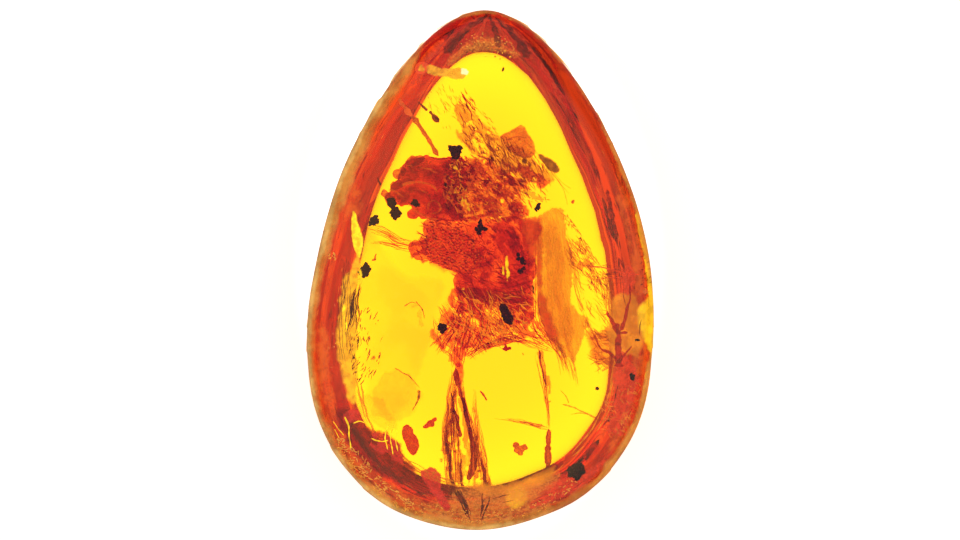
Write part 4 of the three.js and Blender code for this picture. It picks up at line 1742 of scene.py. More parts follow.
    dark_strands: Layer = Layer(4.8, TissueFinish(
        "maroon strand", (0.66, 0.36, 0.5), (0.5, 0.2, 0.3), (0.8, 0.08, 0.06), patch=0.3, stretch=4,
        turn=-84,
    ), (
        Streak(((-1.5, -5.9), (-1.35, -6.9), (-1.05, -8), (-0.65, -9.6)), 6.2, (0.17, 0.09), 0.1),
        Streak(((-0.65, -9.5), (-0.4, -10.6), (-0.4, -11.7), (-0.7, -12.8)), 6.2, (0.12, 0.26), 0.1),
        Streak(((-1.6, -8.5), (-1.35, -9.2), (-1.2, -10.2)), 6, (0.1, 0.13), 0.1),
        Streak(((-1.75, -7.4), (-1.6, -8.2), (-1.6, -8.8)), 6, (0.03, 0.06), 0.1),
        Streak(((-1.9, -11), (-1.75, -12.4), (-1.5, -13.8)), 6, (0.05, 0.14), 0.1),
        Streak(((-1.2, -11.4), (-1.1, -12.8), (-0.9, -14)), 6, (0.04, 0.12), 0.1),
        Streak(((0.1, -11.4), (0.3, -12.6), (0.45, -13.8)), 6, (0.06, 0.16), 0.08),
        Streak(((4.2, -9.7), (4.15, -11), (4.1, -12.9)), 5.8, (0.13, 0.2), 0.04),
        Streak(((0, -7.35), (0.22, -7.6), (0.42, -7.95)), 6.4, (0.07, 0.04)),
        Streak(((3.6, -4.8), (3.8, -6.2), (4.1, -7.4)), 5.8, (0.06, 0.03), 0.06),
    ))
    thin_strands: Layer = Layer(4.9, brown, (
        Streak(((2.4, -9.2), (3.1, -9.35), (3.8, -9.5)), 6.2, (0.05, 0.1), 0.05),
        Streak(((5, -8.15), (5.9, -8.5), (6.6, -8.75), (7.6, -9.3)), 6.4, (0.04, 0.05), 0.08),
        Streak(((5.5, -8.8), (6.1, -8.7), (6.7, -8.8)), 6.4, (0.03, 0.03), 0.05),
        Streak(((4.9, -7.3), (5.3, -7.8), (5.4, -8.1)), 6.2, (0.02, 0.03), 0.05),
    ))


@dataclass
class Wing(Inclusions):
    """The broad orange sheet beside the trunk, with its red inner strip."""

    pale: TissueFinish = TissueFinish(
        "pale under sheet", (0.96, 0.92, 0.85), (0.9, 0.83, 0.72), (1, 0.42, 0.12), patch=0.4, stretch=7,
        turn=-80, grit=0.2, glow=0.1,
    )
    red: TissueFinish = TissueFinish(
        "red strip", (0.8, 0.46, 0.4), (0.72, 0.32, 0.35), (1, 0.18, 0.08), patch=0.3, stretch=5, turn=-80,
        grit=0.15, glow=0.25,
    )
    wing: Layer = Layer(5, TissueFinish(
        "tan sheet", (0.88, 0.88, 0.75), (0.82, 0.79, 0.62), (1, 0.5, 0.14), stretch=5, turn=-82, grit=0.12,
        glow=0.3,
    ), (
        Film(((3.4, 3.1), (3.9, 3.6), (4.7, 3.9), (5.2, 3.4), (5.3, 1.8), (5.75, 0.2), (5.5, -1.6),
            (6, -2.4), (6.7, -3.1), (6.3, -4.2), (5.9, -5.2), (6, -7), (5.6, -5.8), (5.3, -5.4),
            (5.2, -6.4), (4.8, -5), (4.2, -4.2), (3.7, -3.4), (3.4, -2), (3.35, 0.4)), 6.6, 0.06,
            rag=((0.6, 0.15), (0.15, 0.12)), wrinkles=((1.8, 0.2), (0.5, 0.06)), soft=0.12),
    ))
    wing_under: Layer = Layer(5.2, pale, (
        Film(((3.9, 2.6), (4.7, 2.6), (5.2, 0.6), (5.3, -1.6), (5.9, -3.2), (5.6, -4.8), (4.6, -4),
            (3.9, -2.4), (3.8, 0.4)), 5.9, 0.06, rag=((0.6, 0.2), (0.2, 0.08)), soft=0.4),
    ))
    wing_spikes: Layer = Layer(5.25, pale, (
        Bundle(((4.4, -3), (5, -4.6), (5.5, -5.8), (5.9, -7.2)), 6.4, (0.5, 0.25), 22, (0.02, 0.05),
            deep=0.3, run=(0.3, 0.7)),
        Bundle(((5.2, 1.8), (5.7, 0.4), (6, -1.4), (6.7, -3)), 6.4, (0.3, 0.4), 24, (0.02, 0.05), deep=0.3,
            run=(0.15, 0.5)),
        Bundle(((4, -3.2), (4.7, -4.4), (5, -5.4), (5.1, -6.4)), 6.4, (0.3, 0.2), 14, (0.02, 0.04),
            deep=0.3, run=(0.3, 0.7)),
    ))
    wing_strips: Layer = Layer(5.3, red, (
        Film(((2.3, 3.1), (3.5, 3), (3.9, 2.5), (3.45, 1.6), (3.4, 0.6), (3.35, -1), (2.9, 0.6),
            (2.5, 1.8)), 6.9, 0.1, rag=((0.5, 0.08), (0.2, 0.05))),
    ))
    wing_side: Layer = Layer(5.35, TissueFinish(
        "wing side", (0.92, 0.76, 0.7), (0.86, 0.6, 0.6), (1, 0.26, 0.08), patch=0.4, stretch=6, turn=-82,
        grit=0.2, glow=0.2,
    ), (
        Film(((3.2, 3), (3.9, 3), (4, 1.4), (3.8, 0.2), (3.9, -1.2), (4.5, -2.8), (5, -4.2), (4.3, -4.5),
            (3.6, -3.4), (3.35, -1.4)), 7.2, 0.05, rag=((0.5, 0.15), (0.2, 0.08)), soft=0.35),
    ))
    # Painted glow: films that light up the red strips beside the wing by their own emission.
    strip_glows: Layer = Layer(5.5, PaintedGlowFinish("strip glow", (1, 0.13, 0.05), 0.4, 0.95, patch=0.5), (
        Film(((2.5, 3.15), (3.3, 3.3), (3.8, 2.9), (3.65, 1.9), (3.5, 1), (3, 0.6), (2.85, 1.5),
            (2.5, 2.2)), 7.45, 0.04, rag=((0.5, 0.12), (0.2, 0.08)), soft=0.2),
        Film(((3.5, 1.2), (3.9, 0.4), (3.85, -1.2), (4.3, -2.8), (4.8, -3.9), (4.2, -4.1), (3.65, -2.9),
            (3.45, -1.2)), 7.45, 0.04, rag=((0.5, 0.15), (0.2, 0.1)), soft=0.25),
    ))
    wing_edges: Layer = Layer(5.6, red, (
        Streak(((3.38, 2.6), (3.36, 0.8), (3.36, -1), (3.4, -2.9)), 7, (0.02, 0.025)),
        Streak(((3.5, -1.4), (3.7, -2.8), (4.2, -4.2), (5, -5.4)), 6.6, (0.03, 0.03), 0.08),
    ))


@dataclass
class FlowVeil(Inclusions):
    """The fibrous veil of flow lines above the head, with leaf flakes, hairs and a red flame."""

    brown: TissueFinish = TissueFinish(
        "veil brown", (0.8, 0.6, 0.6), (0.6, 0.36, 0.5), patch=0.3, glow=0.06,
    )
    flow_veil: Layer = Layer(6, TissueFinish(
        "veil orange", (0.92, 0.88, 0.7), (0.76, 0.66, 0.5), (1, 0.45, 0.1), patch=0.22, stretch=7,
        turn=-55, grit=0.5,
    ), (
        Film(((-1.3, 10.6), (-0.6, 10), (0.4, 9), (1.4, 8.1), (2.8, 7.4), (3.8, 6.6), (4.6, 5.6),
            (4.2, 5.2), (3, 5.2), (1.8, 5.4), (0.4, 6.6), (-0.8, 7.1), (-1.4, 8), (-1.8, 9.4)), 7, 0.05,
            holes=(0.2, 0.08, 7, -57), lean=(-0.05, -0.1)),
        Film(((-0.8, 9.4), (0.8, 8.2), (2.4, 7.2), (3.6, 6.2), (3.9, 5.5), (2.8, 5.1), (1.4, 5.6), (0, 6.9),
            (-0.9, 8)), 6.2, 0.05, holes=(0.2, 0.3, 6, -52)),
    ))
    flow_dashes: Layer = Layer(6.2, brown, (
        Dashes(((-1.1, 10.9), (-0.4, 10.3), (0.5, 9.3), (1.6, 8), (2.6, 7.2), (1.6, 6.4), (0.2, 6.9),
            (-0.9, 7.6), (-1.3, 9)), 7.4, -55, 210, (0.2, 0.6), (0.012, 0.03)),
        Dashes(((1, 7.4), (2.8, 7.3), (3.8, 6.4), (4.4, 5), (3, 4.4), (1.6, 5.2), (0.6, 6.4)), 7.2, -58,
            170, (0.2, 0.7), (0.015, 0.035)),
        Dashes(((-3.3, 10.4), (-2.2, 11.2), (-1.4, 10.8), (-1.5, 9), (-2.4, 8.6)), 7, -60, 50, (0.15, 0.5),
            (0.01, 0.02)),
    ))
    flame: Layer = Layer(6.4, TissueFinish(
        "flame red", (0.75, 0.4, 0.3), (0.6, 0.24, 0.2), (0.95, 0.1, 0.05), patch=0.3, glow=0.2,
    ), (
        Streak(((-1.1, 10.7), (-0.85, 10.2), (-0.75, 9.7)), 7.6, (0.06, 0.02), 0.06),
        Streak(((-0.95, 10.5), (-0.6, 10), (-0.35, 9.7)), 7.6, (0.05, 0.02), 0.06),
        Streak(((-0.9, 10.1), (-0.55, 9.5), (-0.5, 9.1)), 7.5, (0.06, 0.02), 0.06),
        Streak(((-0.1, 9.2), (0.1, 8.9), (0.15, 8.5)), 7.5, (0.05, 0.02), 0.06),
        Streak(((-1.3, 9.6), (-1, 9), (-0.95, 8.6)), 7.4, (0.04, 0.02), 0.06),
    ))
    leaf_flake: Layer = Layer(6.5, TissueFinish(
        "leaf flake", (0.84, 0.76, 0.6), (0.72, 0.5, 0.5), (1, 0.36, 0.1), scales=0.5, glow=0.25,
    ), (
        Film(((1.15, 8.15), (1.8, 8.5), (2.48, 8.9), (2.75, 8.75), (2.95, 8.3), (3.15, 8.1), (3.35, 7.6),
            (3.45, 7), (2.9, 6.7), (2.1, 6.9), (1.5, 7.5)), 7.3, 0.05, rag=((0.4, 0.05), (0.15, 0.04)),
            wrinkles=((0.8, 0.12),), sharp=True, soft=0.06),
        Film(((1.6, 8), (2.2, 8.3), (2.7, 8.1), (2.6, 7.6), (1.9, 7.5)), 7.5, 0.05, soft=0.12,
            rag=((0.4, 0.15), (0.15, 0.08)), holes=(0.2, 0.3, 1.5, 10)),
    ))
    grey_flakes: Layer = Layer(6.6, TissueFinish(
        "grey flake", (0.56, 0.46, 0.7), (0.4, 0.3, 0.6), (0.4, 0.16, 0.12), patch=0.3, glow=0.25,
    ), (
        Film(((3.4, 7.15), (4, 6.9), (4.65, 6.5), (4.9, 6), (4.5, 5.8), (4.1, 6.1), (3.7, 6.6)), 7.9, 0.05,
            rag=((0.4, 0.1), (0.15, 0.05)), soft=0.07),
        Film(((2.3, 7), (2.7, 6.9), (2.9, 6.5), (2.6, 6.4)), 7.2, 0.05, rag=((0.3, 0.1),), soft=0.08),
        Film(((5, 3.3), (5.3, 3), (6.1, 2.2), (6.3, 1.5), (5.8, 1.7), (5.3, 2.4)), 7.2, 0.05,
            rag=((0.4, 0.15), (0.15, 0.08)), holes=(0.15, 0.35, 3, -50), soft=0.12),
    ))
    hairs: Layer = Layer(6.8, brown, (
        Streak(((2.7, 7.9), (3.6, 6.9), (4.5, 5.7), (5.4, 4.6)), 7.8, (0.014, 0.012), 0.05),
        Streak(((3.4, 7), (4.2, 6.1), (5, 5), (5.3, 3.9)), 7.8, (0.014, 0.014), 0.05),
        Streak(((3, 7.3), (3.9, 6.2), (4.4, 5.3)), 7.8, (0.012, 0.012), 0.05),
        Streak(((4.2, 6.2), (4.9, 5.4), (5.5, 4.9)), 7.8, (0.012, 0.012), 0.04),
        Streak(((1.5, 7.9), (2.3, 8.1), (2.9, 8)), 7.8, (0.012, 0.012), 0.04),
    ))


@dataclass
class RightSide(Inclusions):
    """The dark hairs, cracks and red stained mass along the right side."""

    # Red stains and cracks, with painted glow: they shine by their own emission over their red.
    red: PaintedGlowFinish = PaintedGlowFinish("right red glow", (0.95, 0.075, 0.025), 0.25, 0.95, patch=0.35)
    right_veil: Layer = Layer(7, TissueFinish(
        "right orange", (0.94, 0.84, 0.7), (0.8, 0.6, 0.5), (1, 0.4, 0.08), patch=0.3, stretch=3, turn=-55,
        glow=0.2,
    ), (
        Film(((5.4, 2), (6.4, 1.4), (7.4, 0), (8.2, -1.4), (8.2, -3.4), (7.2, -3), (6.4, -2.4),
            (5.9, -0.6)), 6.4, 0.05, holes=(0.25, 0.5, 3.5, -62), soft=0.4),
        Film(((6.4, -3.8), (7.4, -3.4), (8.3, -3.7), (8.7, -4.6), (8.4, -5.8), (7.4, -6), (6.8, -5.6),
            (6.5, -4.8)), 6.8, 0.08, rag=((0.5, 0.3), (0.2, 0.15)), soft=0.35),
    ))
    right_wisps: Layer = Layer(7.1, TissueFinish(
        "right wisps", (0.96, 0.9, 0.85), (0.88, 0.76, 0.65), (1, 0.45, 0.1), patch=0.25,
    ), (
        Dashes(((5.4, 2.2), (6.8, 1), (8, -0.8), (8.4, -3.4), (7.4, -4), (6.4, -3.4), (5.9, -1)), 6.7, -62,
            230, (0.3, 1.3), (0.014, 0.035)),
        Dashes(((6.6, -3.8), (8.2, -3.6), (8.7, -4.8), (8.2, -6), (6.9, -5.8)), 7, -25, 110, (0.25, 0.9),
            (0.02, 0.05), fan=30),
    ))
    right_dashes: Layer = Layer(7.2, TissueFinish(
        "right brown", (0.86, 0.72, 0.65), (0.7, 0.5, 0.5), patch=0.25, glow=0.12,
    ), (
        Dashes(((5, 3.6), (5.6, 3), (6.6, 1.4), (6.9, 0.4), (6.2, 0.9), (5.3, 2.2)), 7, -54, 80,
            (0.15, 0.5), (0.012, 0.03)),
        Dashes(((6.4, 0.6), (7.4, -0.2), (8.2, -1.8), (7.8, -2.6), (6.8, -1)), 7, -60, 45, (0.15, 0.6),
            (0.012, 0.03)),
        Dashes(((6.4, -0.2), (8, 0.3), (10, -0.1), (9.8, -0.8), (7.6, -0.7)), 6.4, -6, 40, (0.3, 1),
            (0.012, 0.03), fan=6, deep=0.2),
    ))
    right_cracks: Layer = Layer(7.4, red, (
        Streak(((6.6, 0.25), (7.6, 0.12), (8.6, -0.15), (9.9, -0.3)), 9, (0.05, 0.02), 0.04),
        Streak(((7, -0.6), (8, -0.45), (9.2, -0.5)), 9, (0.02, 0.02), 0.04),
    ))
    right_stain: Layer = Layer(7.6, red, (
        Film(((8.2, -5.2), (8.8, -5), (9.2, -5.6), (9.9, -6.6), (9.9, -7.8), (9.5, -9.4), (8.9, -10.2),
            (8, -10), (7.6, -9.6), (7.9, -9), (8.1, -7.6), (8, -6.4)), 9.6, 0.1, rag=((0.6, 0.2),
            (0.2, 0.12)), soft=0.14),
        Film(((4.4, -12.8), (6, -12.4), (7.8, -11.2), (8.6, -10.2), (8.3, -11.4), (6.6, -13.2),
            (4.6, -14.2), (2.8, -14.6)), 9, 0.1, rag=((0.4, 0.15), (0.2, 0.08)), soft=0.3),
        Film(((9.3, -1.4), (9.5, -0.2), (9, 0.6), (8.6, -0.4), (8.8, -1.6)), 9, 0.1, rag=((0.4, 0.15),
            (0.2, 0.08)), soft=0.2),
    ), 0.35)
    # Painted glow: orange flecks that shine by their own emission.
    right_flecks: Layer = Layer(7.8, PaintedGlowFinish("orange fleck glow", (1, 0.3, 0.04), 0.3, 1), (
        Dashes(((7.6, -7.6), (9.7, -6.8), (9.6, -9.4), (8.4, -10.2), (7.4, -9.8)), 9.7, -50, 70,
            (0.15, 0.6), (0.014, 0.035), fan=35),
        Dashes(((8.6, -8.8), (9.2, -8.6), (9.2, -9.6), (8.5, -9.8)), 9.8, 60, 16, (0.15, 0.5), (0.02, 0.04),
            fan=40),
        Dashes(((6.9, -3.8), (8.5, -3.8), (8.7, -5.6), (7.2, -5.9)), 7.2, -20, 60, (0.25, 0.9),
            (0.014, 0.035), fan=30),
    ), 0.28)


@dataclass
class LeftSide(Inclusions):
    """The golden slivers, brown strands and stained bark along the left side and below it."""

    brown: TissueFinish = TissueFinish(
        "left brown", (0.7, 0.6, 0.5), (0.42, 0.32, 0.3), patch=0.25, glow=0.1,
    )
    # Painted glow: the golden slivers and fibres shine by their own emission.
    gold: PaintedGlowFinish = PaintedGlowFinish("golden sliver glow", clear=0.1)
    # Painted glow: a film whose emission stands in for the clear yellow light seen through the stone at the
    # left.
    left_window_glow: Layer = Layer(8.9, PaintedGlowFinish("left window glow", (1, 0.56, 0.015), shine=1.5, patch=0.5), (
        Film(((-7.3, 1.6), (-7.9, 0.4), (-8.5, -0.8), (-8.75, -2.4), (-8.75, -4.6), (-8.5, -6.6),
            (-7.8, -8.2), (-7.4, -7.2), (-7.4, -4), (-7.3, -1)), 9, 0.04, rag=((0.7, 0.25), (0.25, 0.1)),
            soft=0.3),
    ), 0.5)
    golden_slivers: Layer = Layer(8, gold, (
        Film(((-7.7, 3.9), (-7.5, 3.3), (-7.32, 2.7), (-7.16, 2.2), (-7.08, 1.6), (-7.16, 1), (-7.3, 0.6),
            (-7.54, 0.95), (-7.74, 1.6), (-7.86, 2.3), (-7.84, 3.1)), 9, 0.04, rag=((0.3, 0.06),
            (0.12, 0.03)), wrinkles=((0.5, 0.05),), cell=0.05, soft=0.07),
        Film(((-8.3, -1.9), (-8.1, -2.4), (-8.2, -2.8), (-7.95, -3.3), (-8.1, -3.9), (-8.3, -3.4),
            (-8.35, -2.8), (-8.45, -2.4)), 9, 0.04, rag=((0.3, 0.1), (0.12, 0.05)), wrinkles=((0.5, 0.05),),
            cell=0.05),
        Film(((-7.3, 0.2), (-7.1, -0.3), (-7.2, -1), (-7.35, -0.5)), 9, 0.04, rag=((0.3, 0.05),),
            cell=0.05),
    ))
    left_strands: Layer = Layer(8.1, brown, (
        Bundle(((-7.3, -0.8), (-7.6, -1.8), (-7.6, -2.8), (-7.9, -4)), 9, (0.15, 0.3), 24, (0.015, 0.05),
            run=(0.2, 0.7)),
        Bundle(((-8.1, 1.2), (-8.2, -1), (-8.3, -3.4), (-8.1, -6)), 9, (0.3, 0.4), 26, (0.01, 0.025),
            run=(0.1, 0.4)),
    ))
    left_dashes: Layer = Layer(8.2, brown, (
        Dashes(((-7.8, -2.6), (-6.6, -2.4), (-5.9, -3.4), (-6, -5.4), (-6.8, -6.8), (-7.8, -6)), 9, -115,
            120, (0.12, 0.45), (0.012, 0.04)),
    ))
    left_blots: Layer = Layer(8.3, brown, (
        Film(((-7.5, -1.2), (-7.25, -1.6), (-7.35, -2.6), (-7.5, -3.4), (-7.8, -2.8), (-7.7, -1.8)), 6.7,
            0.06, rag=((0.3, 0.12), (0.12, 0.08)), holes=(0.2, 0.25, 3, -85)),
        Film(((-6.7, -4.8), (-6.3, -4.7), (-6.2, -5.3), (-6.6, -5.5)), 6.7, 0.05, rag=((0.3, 0.12),),
            holes=(0.2, 0.3, 1.5, -85)),
    ))
    faint_veil: Layer = Layer(8.4, TissueFinish(
        "faint veil", (0.97, 0.955, 0.9), (0.95, 0.92, 0.8), (1, 0.6, 0.2), patch=1.2, grit=0.1, glow=0.05,
    ), (
        Film(((-6.2, -6.6), (-4.9, -6), (-3.6, -7.2), (-3.9, -8.6), (-5.2, -9.2), (-6.6, -8.6)), 6, 0.05,
            rag=((0.6, 0.25), (0.2, 0.1))),
        Film(((-6.9, -7.4), (-5.6, -8.2), (-5, -9.8), (-6.6, -9.4), (-7.5, -8.4)), 5.6, 0.05,
            rag=((0.6, 0.25), (0.2, 0.1))),
        Film(((-4.6, -2.6), (-3.8, -2), (-3.2, -2.8), (-3.4, -3.6), (-4, -3.4)), 6, 0.05, rag=((0.6, 0.25),
            (0.2, 0.1)), holes=(0.3, 0.4, 1.5, 20)),
    ))
    left_tint: Layer = Layer(8.45, TissueFinish(
        "left tint", (1, 0.97, 0.6), (0.99, 0.92, 0.5), patch=2.5, grit=0, glow=0.02,
    ), (
        Film(((-7.4, 3), (-6, 2), (-4.4, 0), (-2.2, -0.8), (-2.4, -3), (-3.4, -5.5), (-4.2, -8.5),
            (-5.4, -9.6), (-6.9, -7.8), (-7.6, -4)), 5.2, 0.05, rag=((1.5, 0.5), (0.4, 0.1)), cell=0.14,
            soft=0.5),
    ))
    left_lines: Layer = Layer(8.5, brown, (
        Streak(((-5.2, -6), (-4.4, -6.4), (-3.7, -7.2)), 6.3, (0.03, 0.02), 0.08),
        Streak(((-3.7, -7.3), (-3.75, -7.9), (-4.1, -8.6)), 6.3, (0.09, 0.03), 0.08),
        Streak(((-3.9, -1.9), (-3.5, -2.4), (-3.4, -3)), 6.3, (0.03, 0.02), 0.06),
        Streak(((-4.6, -2.2), (-4.2, -1.95), (-3.9, -2)), 6.3, (0.03, 0.02), 0.06),
    ))
    bark: Layer = Layer(8.6, TissueFinish(
        "maroon bark", (0.72, 0.3, 0.5), (0.54, 0.2, 0.4), (0.8, 0.05, 0.05), patch=0.6, grit=0.5, glow=0.2,
    ), (
        Film(((-8.9, -8.4), (-7.9, -8.5), (-7, -9.3), (-5.9, -9.7), (-4.9, -10.4), (-4.4, -11.4),
            (-3.6, -12.6), (-4.6, -13.2), (-6.2, -12.6), (-7.6, -11.3), (-8.6, -9.8)), 9, 0.12,
            rag=((0.5, 0.25), (0.2, 0.12)), soft=0.3),
    ), 0.3)
    # Red stains with painted glow: they shine by their own emission.
    left_stain_glow: Layer = Layer(8.65, PaintedGlowFinish("left stain glow", (0.85, 0.035, 0.035), 0.2, 0.95), (
        Film(((-3.6, -12.3), (-3, -11.9), (-2.4, -12.3), (-2.3, -13.2), (-1.8, -14.4), (-2.2, -14.6),
            (-2.8, -13.8), (-3.2, -13.2)), 9, 0.08, rag=((0.5, 0.1), (0.2, 0.06)), cell=0.06, soft=0.08),
        Film(((-8.2, -8.6), (-7.4, -8.4), (-7.2, -8.9), (-7.8, -9.3), (-8.4, -9.2)), 9, 0.08,
            rag=((0.5, 0.1), (0.2, 0.06)), cell=0.06, soft=0.15),
        Film(((-6.6, -9.9), (-5.4, -10), (-4.7, -10.9), (-4.9, -11.7), (-6, -11.3), (-6.7, -10.6)), 9, 0.08,
            holes=(0.3, 0.12, 1.5, -30), cell=0.06, soft=0.15),
    ), 0.2)
    red_seeds: Layer = Layer(8.7, TissueFinish(
        "left red", (0.72, 0.34, 0.3), (0.62, 0.22, 0.22), (0.9, 0.06, 0.04), patch=0.3, glow=0.25,
    ), (
        Mass((((-4.4, -9.95, 6.6), (0.36, 0.62, 0.2), 5), ((-4.1, -10.6, 6.6), (0.4, 0.66, 0.2), 5)),
            rough=((0.4, 0.08), (0.15, 0.03)), voxel=0.05),
        Mass((((-3, -9.35, 6.3), (0.25, 0.2, 0.15), 20), ((-3.25, -9.5, 6.3), (0.25, 0.12, 0.12), 20),
            ((-2.8, -9.1, 6.3), (0.16, 0.12, 0.12), 40)), rough=((0.3, 0.1),), voxel=0.04),
    ))
    golden_fibres: Layer = Layer(8.8, gold, (
        Streak(((-8.2, -8.9), (-8, -9.5), (-7.95, -10.3), (-7.9, -10.9)), 9.2, (0.05, 0.03), 0.06),
        Streak(((-9, -9.2), (-8.6, -9.7), (-8.3, -10.1)), 9.2, (0.02, 0.02), 0.06),
        Streak(((-8.9, -9.7), (-8.6, -10.2)), 9.2, (0.02, 0.015), 0.04),
        Streak(((-7.7, -9.3), (-7.3, -9.2), (-6.9, -9.3)), 9.2, (0.03, 0.02), 0.06),
        Streak(((-6.6, -10.2), (-6, -10.4), (-5.6, -10.3)), 9.2, (0.03, 0.03), 0.06),
        Streak(((-5.5, -9.3), (-5.75, -10.1), (-5.6, -10.9)), 9.2, (0.03, 0.03), 0.06),
        Streak(((-5.2, -9.3), (-5.4, -10.2), (-5.3, -11.2)), 9.2, (0.03, 0.03), 0.06),
        Streak(((-4.95, -9.5), (-5.1, -10.3), (-5, -11)), 9.2, (0.02, 0.03), 0.06),
    ), 0.1)
    rim_sparks: Layer = Layer(8.85, PaintedGlowFinish("rim spark", (1, 0.5, 0.08), shine=1.1, patch=0.2), (
        Dashes(((-8.6, -10.2), (-7.6, -10.9), (-6, -12.6), (-3.9, -14.4), (-4.4, -14.9), (-6.8, -13.4),
            (-8.5, -11.2)), 9.2, -42, 210, (0.06, 0.4), (0.012, 0.04), fan=40, clumps=0.5),
        Dashes(((-4.2, -13.9), (-1, -14.6), (3, -14.3), (5.6, -12.6), (5.9, -13.1), (3.2, -15), (-1, -15.5),
            (-4.3, -14.7)), 9.2, 4, 170, (0.05, 0.22), (0.01, 0.03), fan=50, clumps=0.5),
        Dashes(((-1.2, 13.6), (0.2, 13.3), (2.4, 13.2), (1.4, 14.2), (0.4, 14.6), (-0.6, 14.2)), 9.2, -70,
            70, (0.04, 0.12), (0.015, 0.035), fan=90, clumps=0.5),
        Dashes(((-9.3, 0.9), (-9, 1.1), (-8.7, 0.8), (-9, 0.5)), 9.2, 60, 14, (0.06, 0.16), (0.03, 0.05),
            fan=90),
    ), 0.12)


@dataclass
class UpperLeft(Inclusions):
    """The orange twig, the yellow tube, the red bubble and the dark slivers near the tip."""

    twig: Layer = Layer(9, TissueFinish(
        "orange twig", (0.8, 0.58, 0.4), (0.66, 0.44, 0.35), (1, 0.32, 0.08), patch=0.3, stretch=4,
        turn=-55, glow=0.4,
    ), (
        Streak(((-4.15, 9.4), (-3.3, 8.2), (-2.55, 6.9)), 7.2, (0.15, 0.12), 0.05),
    ))
    # Painted glow: the upper twig stem shines orange by its own emission.
    twig_stem: Layer = Layer(9.1, PaintedGlowFinish("orange stem glow", (1, 0.16, 0.02), shine=0.95, patch=0.8), (
        Streak(((-4.95, 10.5), (-4.6, 9.9), (-4.1, 9.3)), 9.4, (0.12, 0.16), 0.05),
    ))
    # Painted glow: the yellow tube shines by its own emission.
    yellow_tube: Layer = Layer(9.2, PaintedGlowFinish("yellow tube", (1, 0.52, 0.03), 0.25, 1.2), (
        Film(((-3.15, 12.5), (-2.2, 12.25), (-1.4, 12.3), (-0.9, 12.1), (-0.85, 11.75), (-1.2, 11.5),
            (-2, 11.65), (-2.7, 11.75), (-3.25, 11.95)), 9.4, 0.04, rag=((0.4, 0.06), (0.15, 0.04)),
            cell=0.05, soft=0.12),
        Film(((-3.72, 12.42), (-3.5, 12.5), (-3.38, 12.3), (-3.5, 12.12), (-3.7, 12.2)), 9.4, 0.04,
            cell=0.03, soft=0.08),
    ), 0.05)
    tube_gleam: Layer = Layer(9.3, PaintedGlowFinish("white gleam", (1, 0.9, 0.5), 0.05, 2.2, patch=0.5), (
        Film(((-1.15, 12.15), (-0.8, 12.25), (-0.6, 12), (-0.75, 11.8), (-1.05, 11.9)), 9.5, 0.03,
            cell=0.03, soft=0.12),
    ), 0.04)
    dark_slivers: Layer = Layer(9.4, TissueFinish(
        "dark sliver", (0.42, 0.28, 0.5), (0.28, 0.14, 0.3), patch=0.25,
    ), (
        Streak(((-3.75, 10.25), (-3.45, 9.95), (-3.2, 9.7)), 7.4, (0.03, 0.1), 0.05),
        Streak(((-3.1, 9.65), (-2.8, 9.35), (-2.5, 8.95)), 7.4, (0.08, 0.17), 0.05),
        Streak(((-6.25, 5.65), (-6.15, 5.4), (-6, 5.15)), 7, (0.05, 0.07), 0.05),
        Streak(((-2.75, 9.25), (-2.45, 9.15)), 7.5, (0.08, 0.06), 0.05),
    ))
    # Painted glow: the red bead shines by its own emission.
    red_bead: Layer = Layer(9.6, PaintedGlowFinish("red bead glow", (1, 0.12, 0.03), 0.1, 1.1, patch=0.4), (
        Mass((((-3.57, 12.3, 8), (0.42, 0.4, 0.35), 0), ((-3.2, 12.35, 8), (0.2, 0.2, 0.2), 0)),
            rough=((0.4, 0.05),), voxel=0.05),
    ), 0.08)


